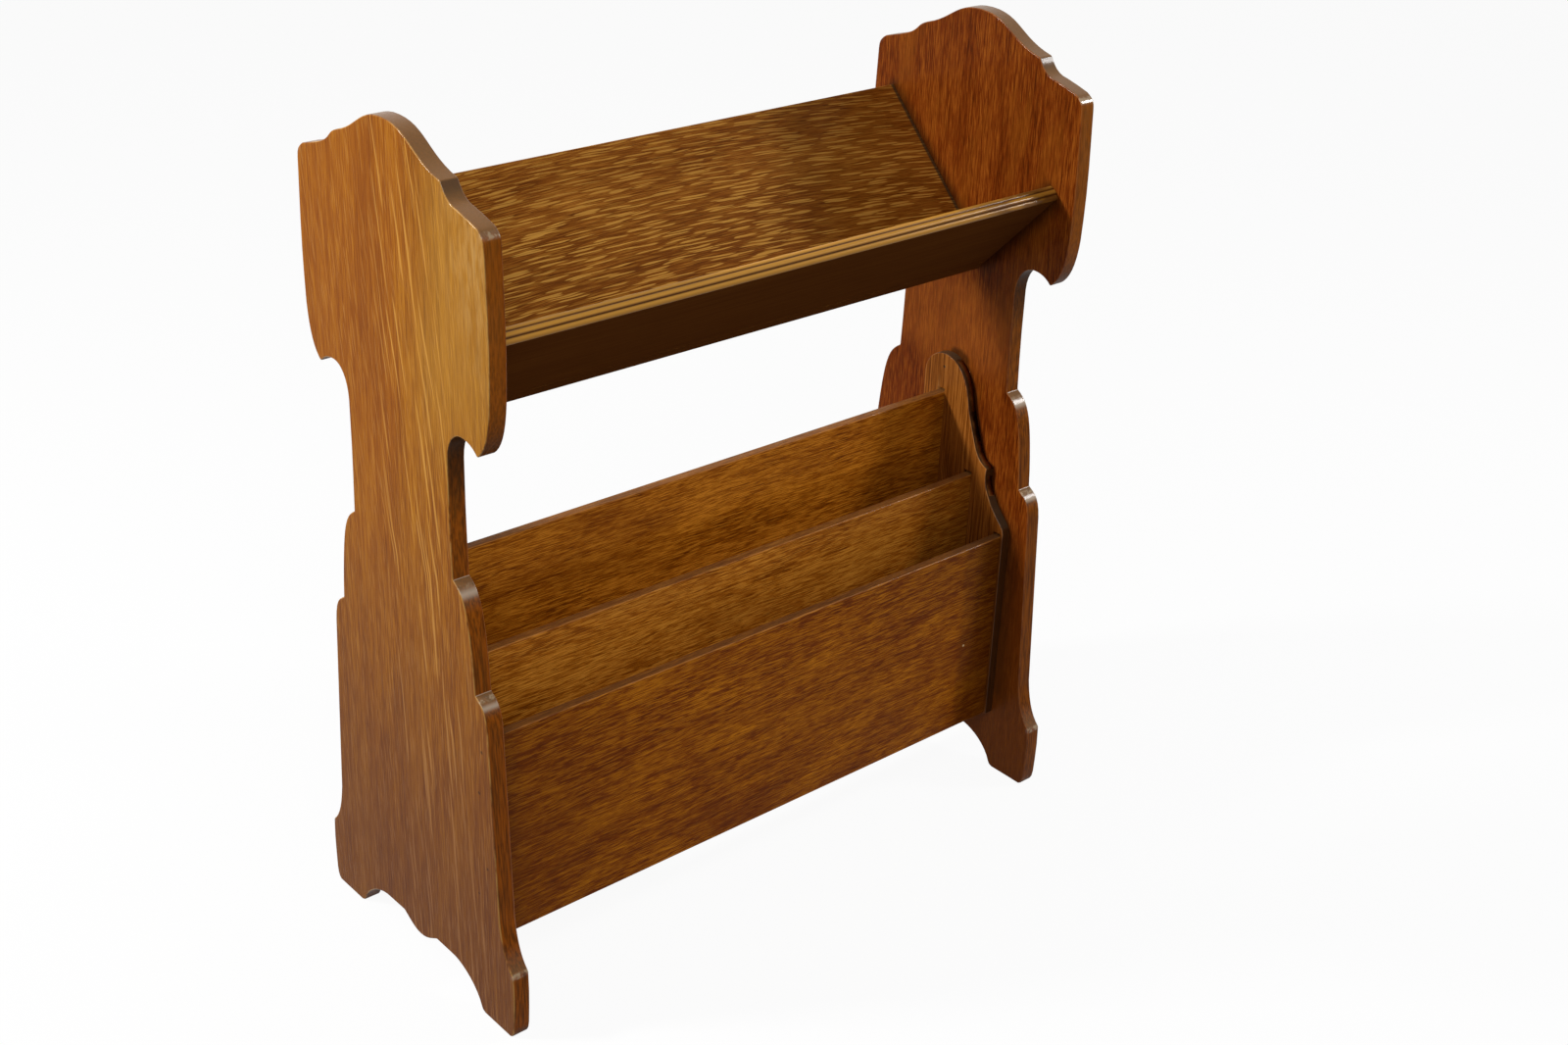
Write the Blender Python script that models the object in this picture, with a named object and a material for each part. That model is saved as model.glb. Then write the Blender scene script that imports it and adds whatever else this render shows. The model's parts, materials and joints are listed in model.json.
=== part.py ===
"""Oak book rack: a right-angled book trough over a two-pocket magazine rack, hung between two
shaped end panels.

X runs along the length, from the left end to the right. Y runs from the front to the back, and Z
up from the floor. The origin is on the floor, under the middle of the rack. All sizes are metres.
"""

import math

import bmesh
import bpy
from mathutils import Matrix, Vector

# Fits
FIT_GAP = 0.0003  # between two pieces that touch
CUT_OVERRUN = 0.004  # how far a cutter stands out of the wood it enters

# End panels, sawn to one outline that is the same to the front and to the back
INNER_LENGTH = 0.606  # between the two end panels
END_THICKNESS = 0.0159
END_HEIGHT = 0.762
HEAD_DEPTH = 0.230  # from the crest down to the tips of the ears
HEAD_HALF_WIDTH = 0.1328
NOTCH_RISE = 0.0084  # the hollow inside each ear, above the tip of the ear
WAIST_HALF_WIDTH = 0.0720
FIRST_STEP_DROP = 0.1206  # below the tips of the ears
SECOND_STEP_DROP = 0.0927  # below the first step
SECOND_STEP_HALF_WIDTH = 0.1005
LEG_TOP_HALF_WIDTH = 0.1172
FOOT_HEIGHT = 0.0655
FOOT_HALF_WIDTH = 0.1458
ARCH_HALF_WIDTH = 0.1010
ARCH_HEIGHT = 0.0330
PENDANT_DROP = 0.0106  # how far the middle of the arch hangs down
PENDANT_HALF_WIDTH = 0.0265
END_ARRIS = 0.0011  # the rounding of the sawn edges

# Book trough, two boards at a right angle
BOARD_THICKNESS = 0.0159
BACK_BOARD_WIDTH = 0.1955
FRONT_BOARD_WIDTH = 0.1137  # without the rounded nose
NOSE_DEPTH = 0.0038
REED_COUNT = 3
REED_DEPTH = 0.0014
BOARD_ARRIS = 0.0012
TROUGH_TILT = math.radians(44.4)  # slope of the back board above the level
TROUGH_BELOW_EARS = 0.0114  # the lowest corner, under the tips of the ears
TROUGH_FORWARD = 0.0217  # the lowest corner, in front of the middle

# Magazine rack
RACK_BELOW_TROUGH = 0.0920  # the tops of the cheeks, under the trough
RACK_BOTTOM = 0.0650
CHEEK_RISE = 0.0393  # above the top of the rear panel
REAR_ABOVE_MIDDLE = 0.0727  # from the top of one panel to the next
MIDDLE_ABOVE_FRONT = 0.0501
PANEL_THICKNESS = 0.0095
PANEL_ARRIS = 0.0012
RACK_PITCH = 0.0450  # from one panel to the next
FRONT_PANEL_FORWARD = 0.0916  # its front face, in front of the middle
CHEEK_THICKNESS = 0.0095
CHEEK_ARRIS = 0.0009
CHEEK_LIP = 0.0029  # cheek wood in front of the front panel
CHEEK_TAIL = 0.0187  # cheek wood behind the rear panel
CHEEK_CROWN_RADIUS = 0.0258
CHEEK_STEP_RISE = 0.0107  # the step, above the top of the middle panel
CHEEK_STEP_FORWARD = 0.0148  # the step, in front of the middle panel
LIP_RISE = 0.0032  # the lip, above the top of the front panel
GROOVE_DEPTH = 0.0050
GROOVE_HEADROOM = 0.0030  # open groove above each panel
BASE_THICKNESS = 0.0095
BASE_LIFT = 0.0040  # the base board, above the bottom of the panels

# Dowels in the ends of the trough boards
DOWEL_DIAMETER = 0.0080
DOWEL_LENGTH = 0.0300
DOWEL_IN_END = 0.0100
DOWEL_CHAMFER = 0.0010
DOWEL_SIDES = 16
DOWEL_EDGE_MARGIN = 0.0330  # from the long edges of each board
BACK_DOWEL_COUNT = 3
FRONT_DOWEL_COUNT = 2

# Screws that draw the back board down on the front board
SCREW_COUNT = 4
SCREW_LENGTH = 0.0320
SCREW_DIAMETER = 0.0042
SCREW_HEAD_DIAMETER = 0.0080
SCREW_HEAD_DEPTH = 0.0026
SCREW_POINT = 0.0060
SCREW_END_MARGIN = 0.0700
SCREW_SIDES = 16

# Panel pins
PIN_DIAMETER = 0.0014
PIN_HEAD_DIAMETER = 0.0022
PIN_HEAD_DEPTH = 0.0012
PIN_SIDES = 8
CHEEK_PIN_LENGTH = 0.0180
BASE_PIN_LENGTH = 0.0220
PIN_PUNCHED = 0.0006  # how far each head lies under the surface
TOP_PIN_DROP = 0.0134  # under the top of the cheek
LOW_PIN_RISE = 0.0450  # above the bottom of the cheek
HIGH_PIN_DROP = 0.1786  # under the top of the cheek
BASE_PIN_COUNT = 4
BASE_PIN_END_MARGIN = 0.0600

SIDES = (("left", -1), ("right", 1))
INNER_FACE = INNER_LENGTH / 2
CHEEK_FACE = INNER_FACE - FIT_GAP - CHEEK_THICKNESS

EAR_TIP_HEIGHT = END_HEIGHT - HEAD_DEPTH
FIRST_STEP_HEIGHT = EAR_TIP_HEIGHT - FIRST_STEP_DROP
SECOND_STEP_HEIGHT = FIRST_STEP_HEIGHT - SECOND_STEP_DROP
TROUGH_BOTTOM = EAR_TIP_HEIGHT - TROUGH_BELOW_EARS

CHEEK_TOP = TROUGH_BOTTOM - RACK_BELOW_TROUGH
REAR_TOP = CHEEK_TOP - CHEEK_RISE
MIDDLE_TOP = REAR_TOP - REAR_ABOVE_MIDDLE
FRONT_TOP = MIDDLE_TOP - MIDDLE_ABOVE_FRONT
FRONT_FACE = -FRONT_PANEL_FORWARD
MIDDLE_FACE = FRONT_FACE + RACK_PITCH
REAR_FACE = MIDDLE_FACE + RACK_PITCH
CHEEK_FRONT = FRONT_FACE - CHEEK_LIP
CHEEK_BACK = REAR_FACE + PANEL_THICKNESS + CHEEK_TAIL
BASE_BOTTOM = RACK_BOTTOM + BASE_LIFT
BASE_TOP = BASE_BOTTOM + BASE_THICKNESS


# Outlines

def bow(outline, end, first_shares, second_shares, steps):
    """Carries an outline on to the point end. The two handles are shares of the way there."""
    start = Vector(outline[-1])
    way = Vector(end) - start
    first = Vector(share * along for share, along in zip(first_shares, way))
    second = Vector(share * along for share, along in zip(second_shares, way))
    for index in range(1, steps + 1):
        t = index / steps
        point = start + 3 * (1 - t) ** 2 * t * first + 3 * (1 - t) * t * t * second + t ** 3 * way
        outline.append(tuple(point))


# Each row is a knot as shares across and down the head, its two handles, and its steps.
HEAD_SHARES = (
    (0.569, 0.120, (0.46, 0.00), (0.50, 0.72), 12),
    (0.727, 0.188, (0.22, 0.50), (0.45, 0.93), 6),
    (0.912, 0.217, (0.40, 0.35), (0.75, 0.70), 2),
    (0.980, 0.274, (0.60, 0.25), (0.97, 0.40), 5),
    (1.000, 0.609, (0.35, 0.33), (1.00, 0.66), 3),
    (0.992, 0.800, (0.00, 0.30), (0.30, 0.70), 2),
    (0.857, 1.000, (0.12, 0.55), (0.45, 0.85), 8),
)
NOTCH_TOP_SHARE = 0.51  # of the way in from the ear's tip to the waist
NECK_DROP_SHARE = 0.165  # of the way down from the ear's tip to the first step
WAIST_DROP_SHARE = 0.51
FIRST_STEP_SHARE = 1.025  # of the waist
HIP_SHARES = (
    (0.955, 0.820, (0.63, 0.12), (0.79, 0.28), 11),
    (1.000, 1.000, (0.35, 0.33), (0.70, 0.66), 1),
)
KNEE_DROP_SHARE = 0.155  # of the way down from the second step to the foot
ANKLE_DROP_SHARE = 0.82
ANKLE_OUT_SHARE = 0.33  # of the way out from the knee to the foot
FOOT_CORNER_SHARE = 0.9945
SIDE_OF_FOOT_SHARES = (
    (1.000, 0.31, (0.70, 0.30), (1.00, 0.66), 1),
    (0.993, 0.82, (0.00, 0.40), (0.60, 0.75), 2),
    (0.953, 1.00, (0.10, 0.60), (0.50, 1.00), 3),
)
ARCH_SHARES = (
    (0.945, 0.127, (0.60, 0.10), (0.85, 0.50), 2),
    (0.554, 0.988, (0.15, 0.55), (0.62, 0.93), 8),
)


def head_of_end():
    """From the crest over the shoulder and the ear to the tip of the ear."""
    edge = [(0.0, END_HEIGHT)]
    for across, down, first, second, steps in HEAD_SHARES:
        knot = (across * HEAD_HALF_WIDTH, END_HEIGHT - down * HEAD_DEPTH)
        bow(edge, knot, first, second, steps)
    return edge


def waist_of_end(edge):
    """From the tip of the ear through the notch and down the waist to the second step."""
    tip = edge[-1][0]
    notch = tip + NOTCH_TOP_SHARE * (WAIST_HALF_WIDTH - tip)
    neck_height = EAR_TIP_HEIGHT - NECK_DROP_SHARE * FIRST_STEP_DROP
    waist_height = EAR_TIP_HEIGHT - WAIST_DROP_SHARE * FIRST_STEP_DROP
    first_step = FIRST_STEP_SHARE * WAIST_HALF_WIDTH
    bow(edge, (notch, EAR_TIP_HEIGHT + NOTCH_RISE), (0.30, 0.75), (0.60, 1.00), 6)
    bow(edge, (WAIST_HALF_WIDTH, neck_height), (0.50, 0.00), (0.97, 0.35), 8)
    edge.append((WAIST_HALF_WIDTH, waist_height))
    bow(edge, (first_step, FIRST_STEP_HEIGHT), (0.00, 0.33), (0.70, 0.66), 2)
    for across, down, first, second, steps in HIP_SHARES:
        knot = (
            first_step + across * (SECOND_STEP_HALF_WIDTH - first_step),
            FIRST_STEP_HEIGHT - down * SECOND_STEP_DROP,
        )
        bow(edge, knot, first, second, steps)


def leg_of_end(edge):
    """From the second step down the leg and round the foot to its sole."""
    fall = SECOND_STEP_HEIGHT - FOOT_HEIGHT
    knee = (LEG_TOP_HALF_WIDTH, SECOND_STEP_HEIGHT - KNEE_DROP_SHARE * fall)
    ankle = (
        LEG_TOP_HALF_WIDTH + ANKLE_OUT_SHARE * (FOOT_HALF_WIDTH - LEG_TOP_HALF_WIDTH),
        SECOND_STEP_HEIGHT - ANKLE_DROP_SHARE * fall,
    )
    bow(edge, knee, (0.68, 0.16), (0.95, 0.28), 7)
    bow(edge, ankle, (0.30, 0.25), (0.72, 0.75), 4)
    bow(edge, (FOOT_CORNER_SHARE * FOOT_HALF_WIDTH, FOOT_HEIGHT), (0.14, 0.40), (0.35, 0.77), 8)
    for across, down, first, second, steps in SIDE_OF_FOOT_SHARES:
        knot = (across * FOOT_HALF_WIDTH, (1 - down) * FOOT_HEIGHT)
        bow(edge, knot, first, second, steps)


def arch_of_end(edge):
    """From the inner edge of the sole up into the arch and out to the pendant."""
    edge.append((ARCH_HALF_WIDTH, 0.0))
    for across, up, first, second, steps in ARCH_SHARES:
        bow(edge, (across * ARCH_HALF_WIDTH, up * ARCH_HEIGHT), first, second, steps)
    bow(edge, (PENDANT_HALF_WIDTH, ARCH_HEIGHT), (0.30, 0.60), (0.70, 1.00), 3)
    bow(edge, (0.0, ARCH_HEIGHT - PENDANT_DROP), (0.35, 0.45), (0.60, 1.00), 6)


def end_outline():
    """The whole edge of an end panel: one half, then the same half turned over."""
    half = head_of_end()
    waist_of_end(half)
    leg_of_end(half)
    arch_of_end(half)
    front = [(-across, up) for across, up in half]
    back = [(across, up) for across, up in reversed(half[1:-1])]
    return front + back


# The ogee in front of the rear panel, then the one that runs down to the lip.
UPPER_FLANK_SHARES = (0.555, 0.365)  # of the way from the crown to the step
LOWER_WAIST_SHARES = (0.54, 0.55)  # of the way from the step to the lip


def part_way(start, end, shares):
    return tuple(a + share * (b - a) for a, b, share in zip(start, end, shares))


def cheek_outline():
    crown = (CHEEK_BACK - CHEEK_CROWN_RADIUS, CHEEK_TOP)
    step = (MIDDLE_FACE - CHEEK_STEP_FORWARD, MIDDLE_TOP + CHEEK_STEP_RISE)
    lip = (CHEEK_FRONT, FRONT_TOP + LIP_RISE)
    edge = [(CHEEK_FRONT, RACK_BOTTOM), (CHEEK_BACK, RACK_BOTTOM)]
    edge.append((CHEEK_BACK, CHEEK_TOP - CHEEK_CROWN_RADIUS))
    bow(edge, crown, (0.00, 0.55), (0.45, 1.00), 7)
    bow(edge, part_way(crown, step, UPPER_FLANK_SHARES), (0.55, 0.00), (0.90, 0.48), 9)
    bow(edge, step, (0.16, 0.34), (0.58, 0.78), 7)
    bow(edge, part_way(step, lip, LOWER_WAIST_SHARES), (0.12, 0.32), (0.60, 0.76), 5)
    bow(edge, lip, (0.42, 0.36), (0.92, 0.68), 5)
    return edge


def rounded_box(low, high, arris, rounded, steps=3):
    """A box outline with an arc at each of the four corners that rounded names as true."""
    corners = (
        ((low[0], low[1]), (1, 1), math.pi),
        ((high[0], low[1]), (-1, 1), 1.5 * math.pi),
        ((high[0], high[1]), (-1, -1), 0.0),
        ((low[0], high[1]), (1, -1), 0.5 * math.pi),
    )
    outline = []
    for (corner, inward, start), round_it in zip(corners, rounded):
        if not round_it:
            outline.append(corner)
            continue
        centre = (corner[0] + inward[0] * arris, corner[1] + inward[1] * arris)
        for index in range(steps + 1):
            turn = start + 0.5 * math.pi * index / steps
            outline.append((centre[0] + arris * math.cos(turn), centre[1] + arris * math.sin(turn)))
    return outline


def reeded_outline(steps=8):
    """The front board in the trough's own frame: Y is its thickness and Z runs to the nose.

    The nose is an arc over the whole thickness, and each reed is a smaller swell along it."""
    butt = BOARD_THICKNESS + FIT_GAP
    shoulder = BOARD_THICKNESS + FRONT_BOARD_WIDTH
    half = BOARD_THICKNESS / 2
    nose_radius = (half * half + NOSE_DEPTH * NOSE_DEPTH) / (2 * NOSE_DEPTH)
    centre = shoulder + NOSE_DEPTH - nose_radius
    spread = math.asin(half / nose_radius)
    outline = [(0.0, butt), (BOARD_THICKNESS, butt)]
    for reed in range(REED_COUNT):
        for index in range(steps + 1):
            if reed and index == 0:
                continue
            across = index / steps
            turn = spread * (1 - 2 * (reed + across) / REED_COUNT)
            swell = math.sqrt(1 - (2 * across - 1) ** 2)
            radius = nose_radius - REED_DEPTH * (1 - swell)
            outline.append((half + radius * math.sin(turn), centre + radius * math.cos(turn)))
    return outline


# Bodies

def prism_into(work, outline, x_from, x_to):
    """Adds a closed prism along X over an outline in the YZ plane."""
    near = [work.verts.new((x_from, y, z)) for y, z in outline]
    face = work.faces.new(near)
    made = bmesh.ops.extrude_face_region(work, geom=[face])
    far = [item for item in made["geom"] if isinstance(item, bmesh.types.BMVert)]
    bmesh.ops.translate(work, verts=far, vec=(x_to - x_from, 0.0, 0.0))
    bmesh.ops.recalc_face_normals(work, faces=work.faces)


def box_into(work, low, high):
    outline = [(low[1], low[2]), (high[1], low[2]), (high[1], high[2]), (low[1], high[2])]
    prism_into(work, outline, low[0], high[0])


def round_into(work, profile, sides, place, along):
    """Adds a closed turned body. profile is (distance along, radius) from one end to the other."""
    turn = Vector((0.0, 0.0, 1.0)).rotation_difference(Vector(along)).to_matrix().to_4x4()
    where = Matrix.Translation(place) @ turn
    rings = []
    for distance, radius in profile:
        if radius == 0.0:
            rings.append([work.verts.new(where @ Vector((0.0, 0.0, distance)))])
            continue
        ring = []
        for index in range(sides):
            angle = 2 * math.pi * index / sides
            spoke = Vector((radius * math.cos(angle), radius * math.sin(angle), distance))
            ring.append(work.verts.new(where @ spoke))
        rings.append(ring)
    for lower, upper in zip(rings, rings[1:]):
        for index in range(sides):
            following = (index + 1) % sides
            if len(upper) == 1:
                work.faces.new((lower[index], lower[following], upper[0]))
            else:
                work.faces.new((lower[index], lower[following], upper[following], upper[index]))
    work.faces.new(tuple(reversed(rings[0])))
    if len(rings[-1]) > 1:
        work.faces.new(tuple(rings[-1]))


def mesh_from(name, work):
    mesh = bpy.data.meshes.new(name)
    work.to_mesh(mesh)
    work.free()
    return mesh


def put(name, mesh, material=None, parent=None, place=(0.0, 0.0, 0.0)):
    thing = bpy.data.objects.new(name, mesh)
    bpy.context.scene.collection.objects.link(thing)
    if material is not None and not mesh.materials:
        mesh.materials.append(material)
    thing.parent = parent
    thing.location = place
    return thing


def prism(name, outline, x_from, x_to, material, parent=None):
    work = bmesh.new()
    prism_into(work, outline, x_from, x_to)
    return put(name, mesh_from(name, work), material, parent)


def turned_mesh(name, profile, sides, start=0.0, along=(0.0, 0.0, 1.0)):
    """A turned body that begins at start on the line along."""
    work = bmesh.new()
    round_into(work, profile, sides, start * Vector(along), along)
    return mesh_from(name, work)


def cut_with(target, name, fill):
    """Cuts from target the body that fill(work) makes in the target's own frame."""
    work = bmesh.new()
    fill(work)
    cutter = put(name, mesh_from(name, work), parent=target)
    cutter.hide_render = True
    cutter.display_type = "WIRE"
    cut = target.modifiers.new(name, "BOOLEAN")
    cut.operation = "DIFFERENCE"
    cut.solver = "EXACT"
    cut.object = cutter


def ease(target, width, rim_at=None):
    """Rounds the sharp edges, or only the rim of the face at the X called rim_at."""
    rounding = target.modifiers.new("eased edges", "BEVEL")
    rounding.width = width
    rounding.segments = 2
    rounding.use_clamp_overlap = False
    if rim_at is None:
        rounding.limit_method = "ANGLE"
        rounding.angle_limit = math.radians(32)
        return
    rim = target.vertex_groups.new(name="rim")
    chosen = [v.index for v in target.data.vertices if abs(v.co.x - rim_at) < FIT_GAP]
    rim.add(chosen, 1.0, "REPLACE")
    rounding.limit_method = "VGROUP"
    rounding.vertex_group = rim.name


def hole_into(work, mouth, along, diameter, depth, sides):
    """A blind hole that goes in at mouth."""
    radius = diameter / 2 + FIT_GAP
    profile = ((-CUT_OVERRUN, radius), (depth + FIT_GAP, radius))
    round_into(work, profile, sides, mouth, along)


def spread_along(count, margin):
    """Evenly spaced X places between the end panels."""
    reach = INNER_FACE - margin
    return [-reach + 2 * reach * index / (count - 1) for index in range(count)]


# Joints of the trough. Its own frame has its origin on the lowest corner, Y climbs the back board
# and Z climbs the front board.

TROUGH_PLACE = Vector((0.0, -TROUGH_FORWARD, TROUGH_BOTTOM))
TROUGH_TURN = Matrix.Rotation(TROUGH_TILT, 4, "X")
DOWEL_IN_BOARD = DOWEL_LENGTH - DOWEL_IN_END


def dowel_spots():
    """(name, y, z) of each dowel in one end, in the trough's frame."""
    middle = BOARD_THICKNESS / 2
    back_run = BACK_BOARD_WIDTH - 2 * DOWEL_EDGE_MARGIN
    front_run = FRONT_BOARD_WIDTH - 2 * DOWEL_EDGE_MARGIN
    spots = []
    for number in range(BACK_DOWEL_COUNT):
        place = DOWEL_EDGE_MARGIN + back_run * number / (BACK_DOWEL_COUNT - 1)
        spots.append((f"back_board_dowel_{number + 1}", place, middle))
    for number in range(FRONT_DOWEL_COUNT):
        place = DOWEL_EDGE_MARGIN + front_run * number / (FRONT_DOWEL_COUNT - 1)
        spots.append((f"front_board_dowel_{number + 1}", middle, BOARD_THICKNESS + place))
    return spots


def cut_dowel_holes(board, board_name, reach):
    def holes(work):
        for _, side in SIDES:
            for name, y, z in dowel_spots():
                if name.startswith(board_name):
                    mouth = (side * reach, y, z)
                    along = (-side, 0, 0)
                    hole_into(work, mouth, along, DOWEL_DIAMETER, DOWEL_IN_BOARD, DOWEL_SIDES)

    cut_with(board, f"{board_name}_dowel_holes", holes)


def screw_profile(gap):
    head = SCREW_HEAD_DIAMETER / 2 + gap
    shank = SCREW_DIAMETER / 2 + gap
    return [
        (PIN_PUNCHED, head),
        (PIN_PUNCHED + SCREW_HEAD_DEPTH, shank),
        (SCREW_LENGTH - SCREW_POINT, shank),
        (SCREW_LENGTH + gap, gap),
    ]


def cut_screw_holes(board, board_name):
    mouth = (-CUT_OVERRUN, SCREW_HEAD_DIAMETER / 2 + FIT_GAP)
    profile = [mouth] + screw_profile(FIT_GAP)

    def holes(work):
        for x in spread_along(SCREW_COUNT, SCREW_END_MARGIN):
            round_into(work, profile, SCREW_SIDES, (x, BOARD_THICKNESS / 2, 0.0), (0, 0, 1))

    cut_with(board, f"{board_name}_screw_holes", holes)


# Joints of the rack

def cheek_pin_spots():
    """(y, z) of the pins in one cheek, the top one first."""
    behind_rear = REAR_FACE + PANEL_THICKNESS + CHEEK_TAIL / 2
    rear_pocket = (REAR_FACE + MIDDLE_FACE + PANEL_THICKNESS) / 2
    front_pocket = (MIDDLE_FACE + FRONT_FACE + PANEL_THICKNESS) / 2
    return (
        (CHEEK_BACK - CHEEK_CROWN_RADIUS, CHEEK_TOP - TOP_PIN_DROP),
        (behind_rear, CHEEK_TOP - HIGH_PIN_DROP),
        (rear_pocket, RACK_BOTTOM + LOW_PIN_RISE),
        (front_pocket, RACK_BOTTOM + LOW_PIN_RISE),
    )


def pin_mesh(length):
    shank = PIN_DIAMETER / 2
    profile = (
        (0.0, PIN_HEAD_DIAMETER / 2),
        (PIN_HEAD_DEPTH, shank),
        (length - 2 * PIN_DIAMETER, shank),
        (length, 0.0),
    )
    return turned_mesh("pin", profile, PIN_SIDES)


def pin_hole_into(work, mouth, along, length):
    """The hole of a pin whose head is punched just under the surface at mouth."""
    head = PIN_HEAD_DIAMETER / 2 + FIT_GAP
    shank = PIN_DIAMETER / 2 + FIT_GAP
    profile = (
        (-CUT_OVERRUN, head),
        (PIN_PUNCHED, head),
        (PIN_PUNCHED + PIN_HEAD_DEPTH, shank),
        (PIN_PUNCHED + length + FIT_GAP, shank),
    )
    round_into(work, profile, PIN_SIDES, mouth, along)


def rear_pin_mouths():
    back_of_rear = REAR_FACE + PANEL_THICKNESS
    middle_of_base = (BASE_BOTTOM + BASE_TOP) / 2
    places = spread_along(BASE_PIN_COUNT, BASE_PIN_END_MARGIN)
    return [Vector((x, back_of_rear, middle_of_base)) for x in places]


def upward_pin_mouths():
    middle_of_panel = MIDDLE_FACE + PANEL_THICKNESS / 2
    places = spread_along(BASE_PIN_COUNT, BASE_PIN_END_MARGIN)
    return [Vector((x, middle_of_panel, BASE_BOTTOM)) for x in places]


def cut_pin_holes(board, name, mouths, along):
    def holes(work):
        for mouth in mouths:
            pin_hole_into(work, mouth, along, BASE_PIN_LENGTH)

    cut_with(board, name, holes)


# Pieces

def make_end(side_name, side, oak):
    face = side * INNER_FACE
    outside = side * (INNER_FACE + END_THICKNESS)
    end = prism(f"{side_name}_end", end_outline(), min(face, outside), max(face, outside), oak)
    ease(end, END_ARRIS)

    def holes(work):
        for _, y, z in dowel_spots():
            mouth = TROUGH_PLACE + TROUGH_TURN @ Vector((face, y, z))
            hole_into(work, mouth, (side, 0, 0), DOWEL_DIAMETER, DOWEL_IN_END, DOWEL_SIDES)
        pin_reach = PIN_PUNCHED + CHEEK_PIN_LENGTH - CHEEK_THICKNESS
        for y, z in cheek_pin_spots():
            hole_into(work, (face, y, z), (side, 0, 0), PIN_DIAMETER, pin_reach, PIN_SIDES)

    cut_with(end, f"{side_name}_end_holes", holes)


def make_back_board(oak, trough, reach):
    rounded = (True, True, True, False)
    outline = rounded_box((0.0, 0.0), (BACK_BOARD_WIDTH, BOARD_THICKNESS), BOARD_ARRIS, rounded)
    board = prism("trough_back_board", outline, -reach, reach, oak, trough)
    cut_dowel_holes(board, "back_board", reach)
    cut_screw_holes(board, "back_board")


def make_front_board(oak, trough, reach):
    board = prism("trough_front_board", reeded_outline(), -reach, reach, oak, trough)
    cut_dowel_holes(board, "front_board", reach)
    cut_screw_holes(board, "front_board")


def make_trough_screws(steel, trough):
    screw = turned_mesh("screw", screw_profile(0.0), SCREW_SIDES)
    for number, x in enumerate(spread_along(SCREW_COUNT, SCREW_END_MARGIN), 1):
        put(f"trough_screw_{number}", screw, steel, trough, (x, BOARD_THICKNESS / 2, 0.0))


def make_dowels(beech, trough):
    radius = DOWEL_DIAMETER / 2
    profile = (
        (0.0, radius - DOWEL_CHAMFER),
        (DOWEL_CHAMFER, radius),
        (DOWEL_LENGTH - DOWEL_CHAMFER, radius),
        (DOWEL_LENGTH, radius - DOWEL_CHAMFER),
    )
    dowel = turned_mesh("dowel", profile, DOWEL_SIDES, -DOWEL_LENGTH / 2, (1.0, 0.0, 0.0))
    from_middle = INNER_FACE + DOWEL_IN_END - DOWEL_LENGTH / 2
    for side_name, side in SIDES:
        for name, y, z in dowel_spots():
            put(f"{side_name}_{name}", dowel, beech, trough, (side * from_middle, y, z))


def make_cheek(side_name, side, oak):
    face = side * CHEEK_FACE
    back = side * (CHEEK_FACE + CHEEK_THICKNESS)
    outline = cheek_outline()
    cheek = prism(f"{side_name}_grooved_cheek", outline, min(face, back), max(face, back), oak)
    ease(cheek, CHEEK_ARRIS, face)

    floor = face + side * (GROOVE_DEPTH + FIT_GAP)
    mouth = face - side * CUT_OVERRUN
    x_from, x_to = min(floor, mouth), max(floor, mouth)
    under = RACK_BOTTOM - CUT_OVERRUN
    behind = PANEL_THICKNESS + FIT_GAP
    grooves = {
        "front_groove": (FRONT_FACE - FIT_GAP, under, FRONT_FACE + behind, FRONT_TOP),
        "middle_groove": (MIDDLE_FACE - FIT_GAP, BASE_TOP, MIDDLE_FACE + behind, MIDDLE_TOP),
        "rear_groove": (REAR_FACE - FIT_GAP, under, REAR_FACE + behind, REAR_TOP),
    }
    for name, (y_from, z_from, y_to, panel_top) in grooves.items():
        low = (x_from, y_from, z_from)
        high = (x_to, y_to, panel_top + GROOVE_HEADROOM)
        cut_with(cheek, f"{side_name}_{name}", lambda work, a=low, b=high: box_into(work, a, b))
    base_low = (x_from, FRONT_FACE + PANEL_THICKNESS / 2, BASE_BOTTOM - FIT_GAP)
    base_high = (x_to, REAR_FACE + PANEL_THICKNESS / 2, BASE_TOP + FIT_GAP)
    cut_with(cheek, f"{side_name}_base_groove", lambda work: box_into(work, base_low, base_high))

    def pin_holes(work):
        for y, z in cheek_pin_spots():
            pin_hole_into(work, (face, y, z), (side, 0, 0), CHEEK_PIN_LENGTH)

    cut_with(cheek, f"{side_name}_cheek_pin_holes", pin_holes)


def make_cheek_pins(steel):
    pin = pin_mesh(CHEEK_PIN_LENGTH)
    for side_name, side in SIDES:
        for number, (y, z) in enumerate(cheek_pin_spots(), 1):
            place = (side * (CHEEK_FACE + PIN_PUNCHED), y, z)
            nail = put(f"{side_name}_cheek_pin_{number}", pin, steel, place=place)
            nail.rotation_euler = (0.0, side * math.pi / 2, 0.0)


def make_panel(name, front, bottom, top, oak):
    reach = CHEEK_FACE + GROOVE_DEPTH
    rounded = (False, False, True, True)
    outline = rounded_box((front, bottom), (front + PANEL_THICKNESS, top), PANEL_ARRIS, rounded)
    return prism(name, outline, -reach, reach, oak)


def make_rear_panel(oak):
    panel = make_panel("rack_rear_panel", REAR_FACE, RACK_BOTTOM, REAR_TOP, oak)
    cut_pin_holes(panel, "rear_panel_pin_holes", rear_pin_mouths(), (0, -1, 0))


def make_middle_panel(oak):
    panel = make_panel("rack_middle_panel", MIDDLE_FACE, BASE_TOP + FIT_GAP, MIDDLE_TOP, oak)
    cut_pin_holes(panel, "middle_panel_pin_holes", upward_pin_mouths(), (0, 0, 1))


def make_front_panel(oak):
    make_panel("rack_front_panel", FRONT_FACE, RACK_BOTTOM, FRONT_TOP, oak)


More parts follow.
